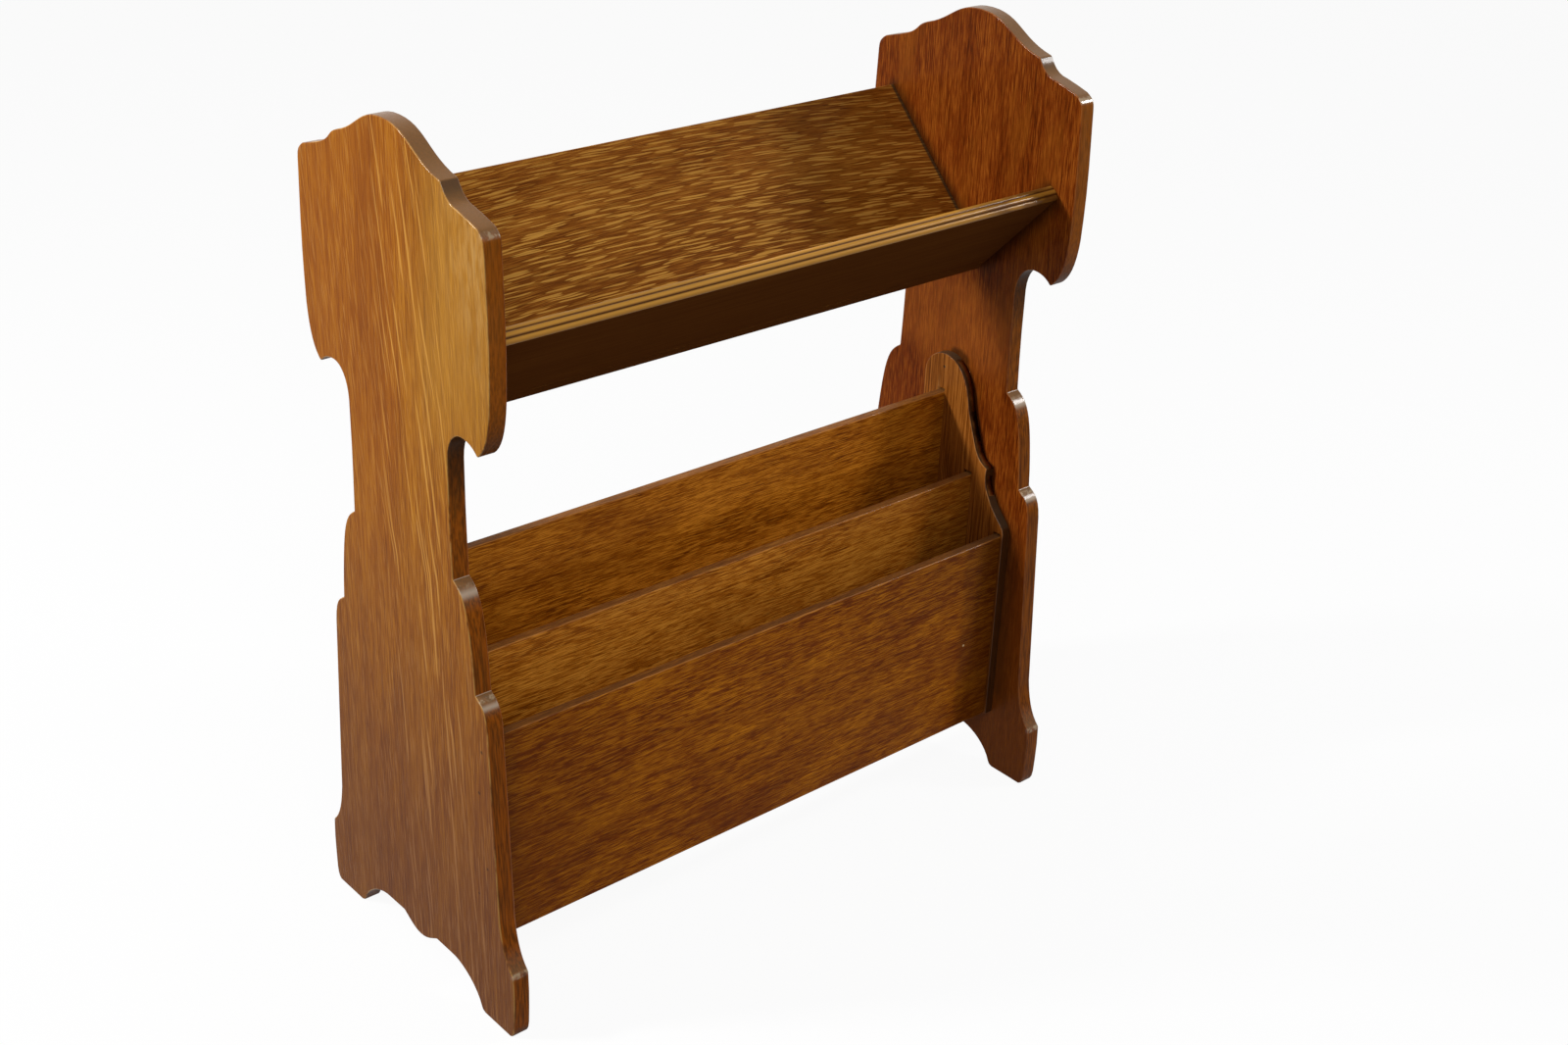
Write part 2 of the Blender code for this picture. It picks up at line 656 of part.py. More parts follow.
def make_base_board(oak):
    reach = CHEEK_FACE + GROOVE_DEPTH
    low = (-reach, FRONT_FACE + PANEL_THICKNESS + FIT_GAP, BASE_BOTTOM)
    high = (reach, REAR_FACE - FIT_GAP, BASE_TOP)
    work = bmesh.new()
    box_into(work, low, high)
    base = put("rack_base_board", mesh_from("rack_base_board", work), oak)
    cut_pin_holes(base, "base_rear_pin_holes", rear_pin_mouths(), (0, -1, 0))
    cut_pin_holes(base, "base_upward_pin_holes", upward_pin_mouths(), (0, 0, 1))


def make_rack_pins(steel):
    pin = pin_mesh(BASE_PIN_LENGTH)
    for number, mouth in enumerate(rear_pin_mouths(), 1):
        place = mouth + Vector((0.0, -PIN_PUNCHED, 0.0))
        rear = put(f"rear_panel_pin_{number}", pin, steel, place=place)
        rear.rotation_euler = (math.pi / 2, 0.0, 0.0)
    for number, mouth in enumerate(upward_pin_mouths(), 1):
        place = mouth + Vector((0.0, 0.0, PIN_PUNCHED))
        put(f"base_board_pin_{number}", pin, steel, place=place)


def make_trough(oak, beech, steel):
    trough = bpy.data.objects.new("trough", None)
    bpy.context.scene.collection.objects.link(trough)
    trough.location = TROUGH_PLACE
    trough.rotation_euler = (TROUGH_TILT, 0.0, 0.0)
    reach = INNER_FACE - FIT_GAP
    make_back_board(oak, trough, reach)
    make_front_board(oak, trough, reach)
    make_trough_screws(steel, trough)
    make_dowels(beech, trough)


# Materials

def finish_of(name, colour, roughness, metallic=0.0):
    material = bpy.data.materials.new(name)
    material.use_nodes = True
    shader = material.node_tree.nodes["Principled BSDF"]
    shader.inputs["Base Color"].default_value = (*colour, 1.0)
    shader.inputs["Roughness"].default_value = roughness
    shader.inputs["Metallic"].default_value = metallic
    material.diffuse_color = (*colour, 1.0)
    return material


def main():
    for thing in list(bpy.data.objects):
        bpy.data.objects.remove(thing, do_unlink=True)
    end_oak = finish_of("end_oak", (0.36, 0.17, 0.055), 0.35)
    trough_oak = finish_of("trough_oak", (0.25, 0.11, 0.030), 0.35)
    rack_oak = finish_of("rack_oak", (0.20, 0.08, 0.018), 0.35)
    beech = finish_of("beech", (0.55, 0.38, 0.22), 0.60)
    steel = finish_of("steel", (0.45, 0.44, 0.42), 0.35, 1.0)
    for side_name, side in SIDES:
        make_end(side_name, side, end_oak)
        make_cheek(side_name, side, rack_oak)
    make_trough(trough_oak, beech, steel)
    make_rear_panel(rack_oak)
    make_middle_panel(rack_oak)
    make_front_panel(rack_oak)
    make_base_board(rack_oak)
    make_cheek_pins(steel)
    make_rack_pins(steel)


main()
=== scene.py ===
# %% [markdown]
# # A book rack in stained oak
# Two shaped end panels carry a right-angled book trough up high and a two-pocket rack down low.
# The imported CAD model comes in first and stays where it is. Every piece below is made in the same
# metres and in the same place, so nothing has to be fitted to anything by eye.

import json
import math
from contextlib import contextmanager

import bmesh
import bpy
from mathutils import Matrix, Vector

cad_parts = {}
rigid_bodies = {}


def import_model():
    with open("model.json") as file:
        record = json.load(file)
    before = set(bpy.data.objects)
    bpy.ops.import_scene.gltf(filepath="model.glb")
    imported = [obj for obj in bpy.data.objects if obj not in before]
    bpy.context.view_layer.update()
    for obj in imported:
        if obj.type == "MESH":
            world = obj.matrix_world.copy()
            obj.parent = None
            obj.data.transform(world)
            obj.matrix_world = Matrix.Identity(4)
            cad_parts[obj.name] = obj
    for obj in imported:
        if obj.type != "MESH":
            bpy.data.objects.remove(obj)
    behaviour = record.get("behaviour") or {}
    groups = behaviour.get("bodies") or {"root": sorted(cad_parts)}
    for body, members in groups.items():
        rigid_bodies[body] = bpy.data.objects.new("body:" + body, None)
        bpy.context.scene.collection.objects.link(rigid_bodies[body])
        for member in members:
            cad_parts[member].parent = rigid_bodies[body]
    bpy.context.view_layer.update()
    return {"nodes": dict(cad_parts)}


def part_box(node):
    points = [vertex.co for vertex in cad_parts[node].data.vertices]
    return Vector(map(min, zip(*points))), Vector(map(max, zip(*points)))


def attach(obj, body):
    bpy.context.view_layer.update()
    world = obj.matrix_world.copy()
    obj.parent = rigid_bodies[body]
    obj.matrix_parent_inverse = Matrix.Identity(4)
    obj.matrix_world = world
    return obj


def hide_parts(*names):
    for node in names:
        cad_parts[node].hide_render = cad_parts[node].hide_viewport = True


for stray in list(bpy.data.objects):
    bpy.data.objects.remove(stray, do_unlink=True)
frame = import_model()

# %% [markdown]
# ## The camera
# The photograph was taken from the front left and from above. The place, the turn and the lens
# were solved from the corners of the rack: three directions (right, down and forward) as seen by
# the camera, one place, and a lens for a picture 1600 pixels wide.

# %% Camera
PHOTO_WIDTH = 1600
FOCAL_PIXELS = 2151.18
SENSOR_WIDTH = 36.0
CAMERA_PLACE = (-1.0885, -1.3115, 1.2080)
CAMERA_RIGHT = Vector((0.75611379, -0.65325831, 0.03931307))
CAMERA_DOWN = Vector((-0.27125975, -0.36750468, -0.88958331))
CAMERA_FORWARD = Vector((0.59557542, 0.66196215, -0.45507804))
NEAREST, FARTHEST = 0.05, 60.0  # metres that the camera sees between

bpy.ops.object.select_all(action="DESELECT")
bpy.ops.object.camera_add()
camera = bpy.context.object
camera.name = "camera"
turn = Matrix((CAMERA_RIGHT, -CAMERA_DOWN, -CAMERA_FORWARD)).transposed()
camera.matrix_world = Matrix.Translation(CAMERA_PLACE) @ turn.to_4x4()
camera.data.sensor_width = SENSOR_WIDTH
camera.data.lens = FOCAL_PIXELS / PHOTO_WIDTH * SENSOR_WIDTH
camera.data.clip_start, camera.data.clip_end = NEAREST, FARTHEST
bpy.context.scene.camera = camera
print("lens:", round(camera.data.lens, 2), "mm")

# %% [markdown]
# ## A small language for finishes
# A finish in Blender is a graph of nodes. Wiring dozens of them by hand hides the idea, so one
# class wraps a socket and lets sums be written as sums, and one method adds any other node.

# %% Values and finishes


class Value:
    """One socket of a finish. Arithmetic on it adds Math nodes."""

    def __init__(self, finish, socket):
        self.finish = finish
        self.socket = socket

    def maths(self, operation, first, second):
        settings = {"operation": operation}
        return self.finish.node("ShaderNodeMath", settings, {0: first, 1: second})

    def __add__(self, other):
        return self.maths("ADD", self, other)

    def __radd__(self, other):
        return self.maths("ADD", other, self)

    def __sub__(self, other):
        return self.maths("SUBTRACT", self, other)

    def __rsub__(self, other):
        return self.maths("SUBTRACT", other, self)

    def __mul__(self, other):
        return self.maths("MULTIPLY", self, other)

    def __rmul__(self, other):
        return self.maths("MULTIPLY", other, self)

    def __abs__(self):
        return self.maths("ABSOLUTE", self, 0.0)

    def top(self, other):
        """The larger of the two."""
        return self.maths("MAXIMUM", self, other)

    def rise(self, low, high):
        """0 up to low and 1 from high on, with a soft step between. low may be the higher."""
        settings = {"interpolation_type": "SMOOTHSTEP"}
        sockets = {"Value": self, "From Min": low, "From Max": high}
        return self.finish.node("ShaderNodeMapRange", settings, sockets)

    def near(self, middle, reach):
        """1 at middle, falling to 0 at reach on either side."""
        return abs(self - middle).rise(reach, 0.0)

    def other(self, name):
        """Another output of the same node."""
        return Value(self.finish, self.socket.node.outputs[name])


class Finish:
    """A material, or the glow of the surround, under construction."""

    def __init__(self, made, end="ShaderNodeOutputMaterial"):
        made.use_nodes = True
        self.made = made
        self.end = end
        self.tree = made.node_tree
        self.tree.nodes.clear()

    def node(self, kind, settings=None, sockets=None, output=0):
        """Adds a node. Its settings are made first, then its sockets get values or links."""
        made = self.tree.nodes.new(kind)
        for key, value in (settings or {}).items():
            if key == "stops":
                set_stops(made.color_ramp, value)
            else:
                setattr(made, key, value)
        for key, value in (sockets or {}).items():
            if isinstance(value, Value):
                self.tree.links.new(value.socket, made.inputs[key])
            else:
                made.inputs[key].default_value = value
        return Value(self, made.outputs[output])

    def blend(self, share, first, second, way="MIX"):
        """Two colours mixed by share."""
        settings = {"data_type": "RGBA", "blend_type": way}
        return self.node("ShaderNodeMix", settings, {0: share, 6: first, 7: second}, 2)

    def split(self, vector):
        """The X, Y and Z of a vector."""
        first = self.node("ShaderNodeSeparateXYZ", {}, {"Vector": vector}, "X")
        return first, first.other("Y"), first.other("Z")

    def sized(self, place, size, shift):
        """place in steps of size. The shift gives each pattern its own part of the noise."""
        start = (shift, 1.7 * shift, 0.3 * shift)
        sockets = {"Vector": place, "Location": start, "Scale": size}
        return self.node("ShaderNodeMapping", {"vector_type": "TEXTURE"}, sockets)

    def noise(self, place, size, shift, detail=2.0, rough=0.5):
        """Smooth random tone about zero, with features of the given size."""
        sockets = {
            "Vector": self.sized(place, size, shift),
            "Scale": 1.0,
            "Detail": detail,
            "Roughness": rough,
        }
        return self.node("ShaderNodeTexNoise", {}, sockets) - 0.5

    def cells(self, place, size, shift):
        """How far the nearest of many scattered points is, with one point to each size."""
        sockets = {"Vector": self.sized(place, (*size, 1.0), shift), "Scale": 1.0}
        return self.node("ShaderNodeTexVoronoi", {"voronoi_dimensions": "2D"}, sockets)

    def close(self, shader):
        """Joins the shader to the output and hands over what was made."""
        end = self.tree.nodes.new(self.end)
        self.tree.links.new(shader.socket, end.inputs["Surface"])
        return self.made


def set_stops(ramp, stops):
    while len(ramp.elements) < len(stops):
        ramp.elements.new(1.0)
    for element, (position, colour) in zip(ramp.elements, stops):
        element.position = position
        element.color = colour


def paint(red, green, blue):
    """A colour as a paint chart gives it, 0 to 255, for a shader."""
    linear = []
    for part in (red, green, blue):
        share = part / 255
        linear.append(share / 12.92 if share <= 0.04045 else ((share + 0.055) / 1.055) ** 2.4)
    return (*linear, 1.0)


print("golden oak as light:", [round(v, 3) for v in paint(170, 115, 50)])

# %% [markdown]
# ## The room
# A pale floor, a white surround and three lamps. A small strong lamp behind the left end gives
# the crisp light and shade, a broad weak one at the front left fills the shade in, and a small
# one at the front right puts the glints on the polished steps. The floor and the surround show
# white to the camera and in reflections, and the floor still takes the shadow of the rack.

# %% Floor, surround and lamps
FLOOR_SIZE = 14.0
FLOOR_WHITE_SHARE = 0.94  # how much of the floor shows as plain white, over its shadow
WORLD_LEVEL = 0.14  # how strongly the white surround lights the rack
WHITE = (1.0, 1.0, 1.0, 1.0)
CHALK_SEEN = (0.95, 0.95, 0.95, 1.0)
CHALK_AS_LIGHT = (0.42, 0.42, 0.41, 1.0)


def sees_background(finish):
    """1 for a ray from the camera, in a reflection or through glass."""
    path = finish.node("ShaderNodeLightPath", output="Is Camera Ray")
    return path.top(path.other("Is Glossy Ray")).top(path.other("Is Transmission Ray"))


def floor_finish():
    finish = Finish(bpy.data.materials.new("pale_floor"))
    seen = sees_background(finish)
    tint = finish.blend(seen, CHALK_AS_LIGHT, CHALK_SEEN)
    chalk = finish.node("ShaderNodeBsdfDiffuse", {}, {"Color": tint})
    white = finish.node("ShaderNodeEmission", {}, {"Color": WHITE})
    sockets = {0: seen * FLOOR_WHITE_SHARE, 1: chalk, 2: white}
    return finish.close(finish.node("ShaderNodeMixShader", {}, sockets))


bpy.ops.object.select_all(action="DESELECT")
bpy.ops.mesh.primitive_plane_add(size=FLOOR_SIZE, location=(0.0, 0.0, 0.0))
floor = bpy.context.object
floor.name = "floor"
floor.data.materials.append(floor_finish())

surround = Finish(bpy.data.worlds.new("surround"), "ShaderNodeOutputWorld")
level = sees_background(surround) * (1.0 - WORLD_LEVEL) + WORLD_LEVEL
glow = surround.node("ShaderNodeBackground", {}, {"Color": WHITE, "Strength": level})
bpy.context.scene.world = surround.close(glow)


def lamp(name, place, aim_height, size, power):
    """A soft rectangular lamp that faces the rack's middle line at aim_height."""
    bpy.ops.object.light_add(type="AREA", location=place)
    made = bpy.context.object
    made.name = name
    made.data.shape = "RECTANGLE"
    made.data.size, made.data.size_y = size
    made.data.energy = power
    made.rotation_mode = "QUATERNION"
    towards = Vector((0.0, 0.0, aim_height)) - Vector(place)
    made.rotation_quaternion = towards.to_track_quat("-Z", "Y")


lamp("rear_left_lamp", (-1.97, 1.09, 1.75), 0.5, (0.3, 0.3), 57.0)
lamp("front_left_lamp", (-1.3, -1.5, 2.4), 0.5, (1.3, 1.0), 19.0)
lamp("front_right_lamp", (1.9, -1.2, 1.7), 0.4, (0.4, 0.4), 22.0)
bpy.context.scene.view_settings.view_transform = "Standard"

# %% [markdown]
# ## Working on a piece
# Blender's operators act on whatever is selected, so each step starts with a clean selection.
# In edit mode the parts to work on are picked in code, by where they are.

# %% Picking and shaping
WELD = 0.00001  # points that are closer than this are one point


def start_clean():
    bpy.ops.object.select_all(action="DESELECT")


def take(piece):
    start_clean()
    piece.select_set(True)
    bpy.context.view_layer.objects.active = piece


@contextmanager
def editing(piece):
    """Edit mode on one piece, for as long as a with block lasts."""
    take(piece)
    bpy.ops.object.mode_set(mode="EDIT")
    yield
    bpy.ops.object.mode_set(mode="OBJECT")


def named(name):
    """The object that was just added, with its name on it and on its mesh."""
    piece = bpy.context.object
    piece.name = piece.data.name = name
    return piece


def settle():
    """Puts the chosen object's place, turn and size into its mesh."""
    bpy.ops.object.transform_apply(location=True, rotation=True, scale=True)


def extrude(x, y, z):
    """Draws the picked faces out."""
    bpy.ops.mesh.extrude_region_move(TRANSFORM_OT_translate={"value": (x, y, z)})


def pick_in(piece, kind, wanted):
    """In edit mode, selects the verts, edges or faces for which wanted(item) is true."""
    work = bmesh.from_edit_mesh(piece.data)
    bpy.ops.mesh.select_mode(type={"verts": "VERT", "edges": "EDGE", "faces": "FACE"}[kind])
    bpy.ops.mesh.select_all(action="DESELECT")
    count = 0
    for item in getattr(work, kind):
        if wanted(item):
            item.select_set(True)
            count += 1
    bmesh.update_edit_mesh(piece.data)
    return count


def block(name, low, high):
    """A sawn blank between two corners, its place in its mesh."""
    start_clean()
    middle = [(a + b) / 2 for a, b in zip(low, high)]
    bpy.ops.mesh.primitive_cube_add(size=1.0, location=middle)
    piece = named(name)
    piece.scale = [b - a for a, b in zip(low, high)]
    settle()
    return piece


def round_edges(piece, wanted, width, segments):
    """Rounds the edges for which wanted(middle, direction) is true."""

    def test(edge):
        a, b = edge.verts
        return wanted((a.co + b.co) / 2, (b.co - a.co).normalized())

    with editing(piece):
        pick_in(piece, "edges", test)
        bpy.ops.mesh.bevel(
            offset=width, offset_type="OFFSET", segments=segments, profile=0.5, clamp_overlap=False
        )


def cut_away(piece, cutter):
    """Cuts the cutter's shape out of the piece, and puts the cutter away."""
    take(piece)
    bpy.ops.object.modifier_add(type="BOOLEAN")
    cut = piece.modifiers[-1]
    cut.operation = "DIFFERENCE"
    cut.solver = "EXACT"
    cut.object = cutter
    bpy.ops.object.modifier_apply(modifier=cut.name)
    bpy.data.objects.remove(cutter, do_unlink=True)


def smooth(piece, degrees=40.0):
    """Smooth shading that keeps flat faces flat and real corners sharp."""
    with editing(piece):
        bpy.ops.mesh.select_all(action="SELECT")
        bpy.ops.mesh.remove_doubles(threshold=WELD)
        bpy.ops.mesh.dissolve_limited(angle_limit=math.radians(0.3))
    bpy.ops.object.shade_smooth_by_angle(angle=math.radians(degrees))
    bpy.ops.object.modifier_add(type="WEIGHTED_NORMAL")
    weighted = piece.modifiers[-1]
    weighted.keep_sharp = True
    weighted.weight = 100
    bpy.ops.object.modifier_apply(modifier=weighted.name)


def hand_over(piece, material, slot, *nodes):
    """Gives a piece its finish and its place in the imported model."""
    piece.data.materials.clear()
    piece.data.materials.append(material)
    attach(piece, "root")
    if nodes:
        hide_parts(*nodes)
    count = sum(len(face.vertices) - 2 for face in piece.data.polygons)
    print(f"{piece.name}: {count} triangles")


# %% [markdown]
# ## Oak
# Oak is read by its grain. Long bands follow the growth of the tree, short dark pores run inside
# them, and where the log was cut on the quarter pale rays cross the face. The stain then settles
# unevenly, and hands and books rub it off the edges. All of it is drawn in metres on the board's
# own three directions: along the grain, across the face and through the thickness.

# %% Oak finish
TROUGH_TILT = math.radians(44.4)
TROUGH_CORNER = (0.0, -0.0217, 0.5206)
LEAN = 0.7
PORE_BROWN = (0.30, 0.20, 0.12, 1.0)  # the share of the wood's colour that shows in a pore
PATCH = 0.030  # metres over which wear comes and goes


def board_place(finish, trough=False):
    """X, Y and Z of a point of the wood, along the rack's axes or along the tilted trough's."""
    place = finish.node("ShaderNodeTexCoord", output="Object")
    if trough:
        sockets = {"Vector": place, "Location": TROUGH_CORNER, "Rotation": (TROUGH_TILT, 0.0, 0.0)}
        place = finish.node("ShaderNodeMapping", {"vector_type": "TEXTURE"}, sockets)
    return finish.split(place)


def sawn_and_rim(facing_x):
    """1 on the sawn edges of a board that stands across X, and 1 on the rims of its faces."""
    turned = abs(facing_x)
    return turned.rise(0.80, 0.45), turned.rise(0.06, 0.30) * turned.rise(0.997, 0.95)


class Oak:
    """One board's finish, built up layer by layer. Sizes are metres along and across."""

    def __init__(self, name, directions, trough=False, seed=0.0):
        self.finish = Finish(bpy.data.materials.new(name))
        self.seed = seed
        self.place = board_place(self.finish, trough)
        ways = ["xyz".index(letter) for letter in directions]
        self.along, self.across, self.through = (self.place[way] for way in ways)
        self.roughness = 0.42
        self.height = 0.0
        self.polish = 0.02

    def board(self, lean=0.0, rise=0.0):
        """A place in the board. lean slides each line of grain along by its place across."""
        along, across = self.along, self.across
        if lean:
            along = along + across * lean + self.through * lean
        if rise:
            across = across + rise
        sockets = {"X": along, "Y": across, "Z": self.through}
        return self.finish.node("ShaderNodeCombineXYZ", {}, sockets)

    def tone(self, run, breadth, shift, detail=2.0, rough=0.5, lean=LEAN):
        """Grain tone about zero. The lean keeps streaks from starting in step."""
        size = (run, breadth, breadth)
        place = self.board(lean * run / breadth)
        return self.finish.noise(place, size, shift + self.seed, detail, rough)

    def wander(self, run, breadth, reach):
        """Lets the grain drift sideways by about reach as it runs."""
        self.across = self.across + self.tone(run, breadth, 5.3, 1.0, lean=0.0) * (2.0 * reach)

    def grain(self, spread, colours, layers):
        """Dark, middling and light wood. layers are (strength, run, breadth, detail)."""
        tone = 0.5
        for index, (strength, run, breadth, detail) in enumerate(layers):
            lean = LEAN if index % 2 else -LEAN
            tone = tone + self.tone(run, breadth, 1.1 * index, detail, lean=lean) * strength
        stops = [(0.5 + way * spread, paint(*colour)) for way, colour in zip((-1, 0, 1), colours)]
        self.colour = self.finish.node("ShaderNodeValToRGB", {"stops": stops}, {"Fac": tone})
        self.height = tone * 0.5

    def pores(self, run, breadth, share, depth):
        """Short dark pores. share is how much of their colour they lose."""
        pore = self.tone(run, breadth, 9.7, 1.0).rise(0.10, 0.24)
        bands = self.tone(0.30, 0.004, 3.1, 1.0).rise(-0.12, 0.16)
        pore = pore * (bands * 0.6 + 0.4)
        dark = self.finish.blend(1.0, self.colour, PORE_BROWN, "MULTIPLY")
        self.colour = self.finish.blend(pore * share, self.colour, dark)
        self.roughness = self.roughness + pore * 0.15
        self.height = self.height - pore * depth

    def rays(self, run, breadth, bar, colour, share, where=None, shift=2.0):
        """Pale rays: a thin leaf in each cell of a stretched net, as wide as twice the bar."""
        ripple = self.tone(run * 0.6, breadth * 2.5, shift + 4.0, 1.0) * (breadth * 1.4)
        place = self.board(0.3 * run / breadth, ripple + self.through)
        uneven = self.tone(run, breadth * 3.0, shift + 8.0, 1.0) * 0.25
        near = self.finish.cells(place, (run, breadth), shift + self.seed) + uneven
        ray = near.rise(bar + 0.03, bar - 0.05)
        if where is not None:
            ray = ray * where
        self.colour = self.finish.blend(ray * share, self.colour, colour)
        self.roughness = self.roughness - ray * 0.06
        self.height = self.height + ray * 0.2

    def tint(self, share, colour, way="MIX"):
        """Lays a colour over the wood by share."""
        self.colour = self.finish.blend(share, self.colour, colour, way)

    def facing(self):
        """How far the surface faces X, Y and Z, each from -1 to 1."""
        return self.finish.split(self.finish.node("ShaderNodeNewGeometry", output="Normal"))

    def arris(self, *ways):
        """1 where the surface turns between the flat faces that look in these ways."""
        normal = self.finish.node("ShaderNodeNewGeometry", output="Normal")
        flat = 0.0
        for way in ways:
            settings = {"operation": "DOT_PRODUCT"}
            sockets = {0: normal, 1: way}
            facing = self.finish.node("ShaderNodeVectorMath", settings, sockets, "Value")
            flat = abs(facing).top(flat)
        return flat.rise(0.995, 0.92)

    def wear(self, edge, colour, share):
        """Rubbed edges, paler in patches and better polished."""
        patchy = self.tone(PATCH, PATCH * 0.6, 13.0, 3.0, 0.6, 0.0).rise(-0.12, 0.10)
        self.colour = self.finish.blend(edge * patchy * share, self.colour, colour)
        self.polish = self.polish + edge * 0.25

    def close(self, bump=0.25, shine=0.05):
        finish = self.finish
        sockets = {"Strength": bump, "Distance": 0.0006, "Height": self.height}
        normal = finish.node("ShaderNodeBump", {}, sockets)
        sockets = {
            "Base Color": self.colour,
            "Roughness": self.roughness,
            "Specular IOR Level": shine,
            "Specular Tint": (1.0, 0.74, 0.45, 1.0),
            "Coat Weight": self.polish,
            "Coat Roughness": 0.16,
            "Coat IOR": 1.45,
            "Normal": normal,
        }
        return finish.close(finish.node("ShaderNodeBsdfPrincipled", {}, sockets))

# %% [markdown]
# ## The finish of the two ends
# The ends stand with their grain upright. The outer faces have faded to a golden brown with a
# warmer rear half and long thin rays down the middle; they are browner towards the foot, and
# painted darker there as shade. The inner faces kept more of the red stain. They carry painted
# shade beside the rack and where the trough and the cheeks meet them, and painted light under
# the trough. The sawn edges are dark and streaked, grey where they look up (partly dusty, partly
# a painted sheen), painted darker as shade under the ears and where they look down, and carry
# painted glints on the steps and on the rubbed corners.


# %% End panels' oak
# Corners that are rubbed pale and carry painted glints.
RUBBED_AND_GLINTING_CORNERS = (  # how far out, how high and how wide, in metres, on both sides of the middle
    (0.1275, 0.7080, 0.0045),
    (0.0820, 0.4090, 0.0040),
    (0.1060, 0.3170, 0.0040),
    (0.1440, 0.0650, 0.0035),
)
DARK_MARKS = (  # towards the rear, how high and how wide, on the outer face of the left end
    (-0.1079, 0.2695, 0.0022),
    (-0.1024, 0.2280, 0.0022),
    (-0.1239, 0.1852, 0.0030),
    (-0.1114, 0.1573, 0.0020),
    (-0.0976, 0.1252, 0.0016),
)


def spots(finish, first, second, places):
    """1 at each of the places, fading out at its reach."""
    here = finish.node("ShaderNodeCombineXYZ", {}, {"X": first, "Y": second})
    covered = 0.0
    for at_first, at_second, reach in places:
        sockets = {0: here, 1: (at_first, at_second, 0.0)}
        gap = finish.node("ShaderNodeVectorMath", {"operation": "DISTANCE"}, sockets, "Value")
        covered = gap.rise(reach, reach * 0.4).top(covered)
    return covered


def painted_trough_corner_shade(finish):
    """Painted shade on the ends where the trough boards stop: 1 at the boards, fading out away."""
    _, up, out = board_place(finish, trough=True)
    beside_back = out.rise(0.0300, 0.0150) * up.rise(0.0, 0.012) * up.rise(0.204, 0.194)
    beside_front = up.rise(0.0260, 0.0150) * out.rise(0.0, 0.012) * out.rise(0.136, 0.128)
    behind = out.rise(-0.016, 0.002) * up.rise(-0.016, 0.002)
    return beside_back.top(beside_front) * behind


CHEEK_EDGE = (  # the front edge of a cheek on the end: how high, how far to the front
    (0.2697, 0.0945), (0.2785, 0.0905), (0.2840, 0.0845), (0.2933, 0.0762),
    (0.3039, 0.0698), (0.3110, 0.0662), (0.3262, 0.0650), (0.3305, 0.0655),
    (0.3325, 0.0595), (0.3361, 0.0546), (0.3440, 0.0492), (0.3540, 0.0460),
    (0.3640, 0.0420), (0.3741, 0.0384), (0.3842, 0.0355), (0.3931, 0.0334),
    (0.4040, 0.0302), (0.4110, 0.0267), (0.4160, 0.0233), (0.4195, 0.0203),
    (0.4286, 0.0120),
)
# Spots of painted shade over the top of a cheek: how far out, how high and how wide.
CHEEK_CROWN = ((-0.0030, 0.4280, 0.009), (-0.0090, 0.4275, 0.010), (-0.0150, 0.4250, 0.010))
RAMP_LOW, RAMP_HIGH = 0.25, 0.45  # the heights over which the ramp gives the edge
RAMP_GAIN = 5  # a ramp gives 0 to 1, and the edge is less than 0.2 m out


def painted_cheek_shade(finish, y, z):
    """Painted shade on the end, in the corner along the front edge of a cheek."""
    span = RAMP_HIGH - RAMP_LOW
    stops = [((up - RAMP_LOW) / span, (*[out * RAMP_GAIN] * 3, 1.0)) for up, out in CHEEK_EDGE]
    sockets = {"Fac": (z - RAMP_LOW) * (1.0 / span)}
    edge = finish.node("ShaderNodeValToRGB", {"stops": stops}, sockets) * (1.0 / RAMP_GAIN)
    ahead = -1.0 * y - edge
    close = ahead.rise(0.0062, 0.0) * ahead.rise(-0.004, -0.002) * z.rise(0.431, 0.424)
    return close.top(spots(finish, y, z, CHEEK_CROWN)) * z.rise(0.10, 0.30)


def inner_face(oak):
    """The red face, with painted shade beside the rack and in the corners, and painted light under
    the trough.
    """
    _, y, z = oak.place
    oak.wander(0.30, 0.05, 0.002)
    layers = [(1.2, 0.011, 0.0007, 2.0), (0.5, 0.070, 0.0012, 2.0), (0.4, 0.090, 0.0300, 2.0)]
    oak.grain(0.26, ((70, 26, 2), (114, 48, 8), (154, 84, 24)), layers)
    amber = oak.tone(0.10, 0.035, 21.0).rise(0.03, 0.20)
    oak.tint(amber * 0.35, paint(142, 78, 18))
    oak.pores(0.0070, 0.00060, 0.95, 0.5)
    oak.tint(z.rise(0.30, 0.14) * 0.45, paint(140, 78, 24))
    # Painted shade on the leg beside the rack, in front of the cheek and the front panel.
    painted_shade_beside_rack = y.rise(-0.122, -0.100) * y.rise(-0.088, -0.094) * z.rise(0.300, 0.240)
    oak.tint(painted_shade_beside_rack * z.rise(0.06, 0.10) * 0.42, paint(52, 32, 14))
    front_leg = y.rise(-0.100, -0.118) * z.rise(0.12, 0.20) * z.rise(0.32, 0.26)
    oak.tint(front_leg * 0.35, paint(132, 64, 16))
    # Painted light: the band of the inner face under the trough is lightened.
    painted_light_below_trough = z.rise(0.405, 0.435) * z.rise(0.515, 0.490)
    oak.tint(painted_light_below_trough * 0.22, paint(172, 96, 36))
    # Painted shade in the corners where the trough boards meet the end.
    oak.tint(painted_trough_corner_shade(oak.finish) * 0.70, paint(34, 16, 4))
    # Painted shade along the front edge and the top of the cheek.
    oak.tint(painted_cheek_shade(oak.finish, y, z) * 0.68, paint(30, 18, 8))
    return oak.colour


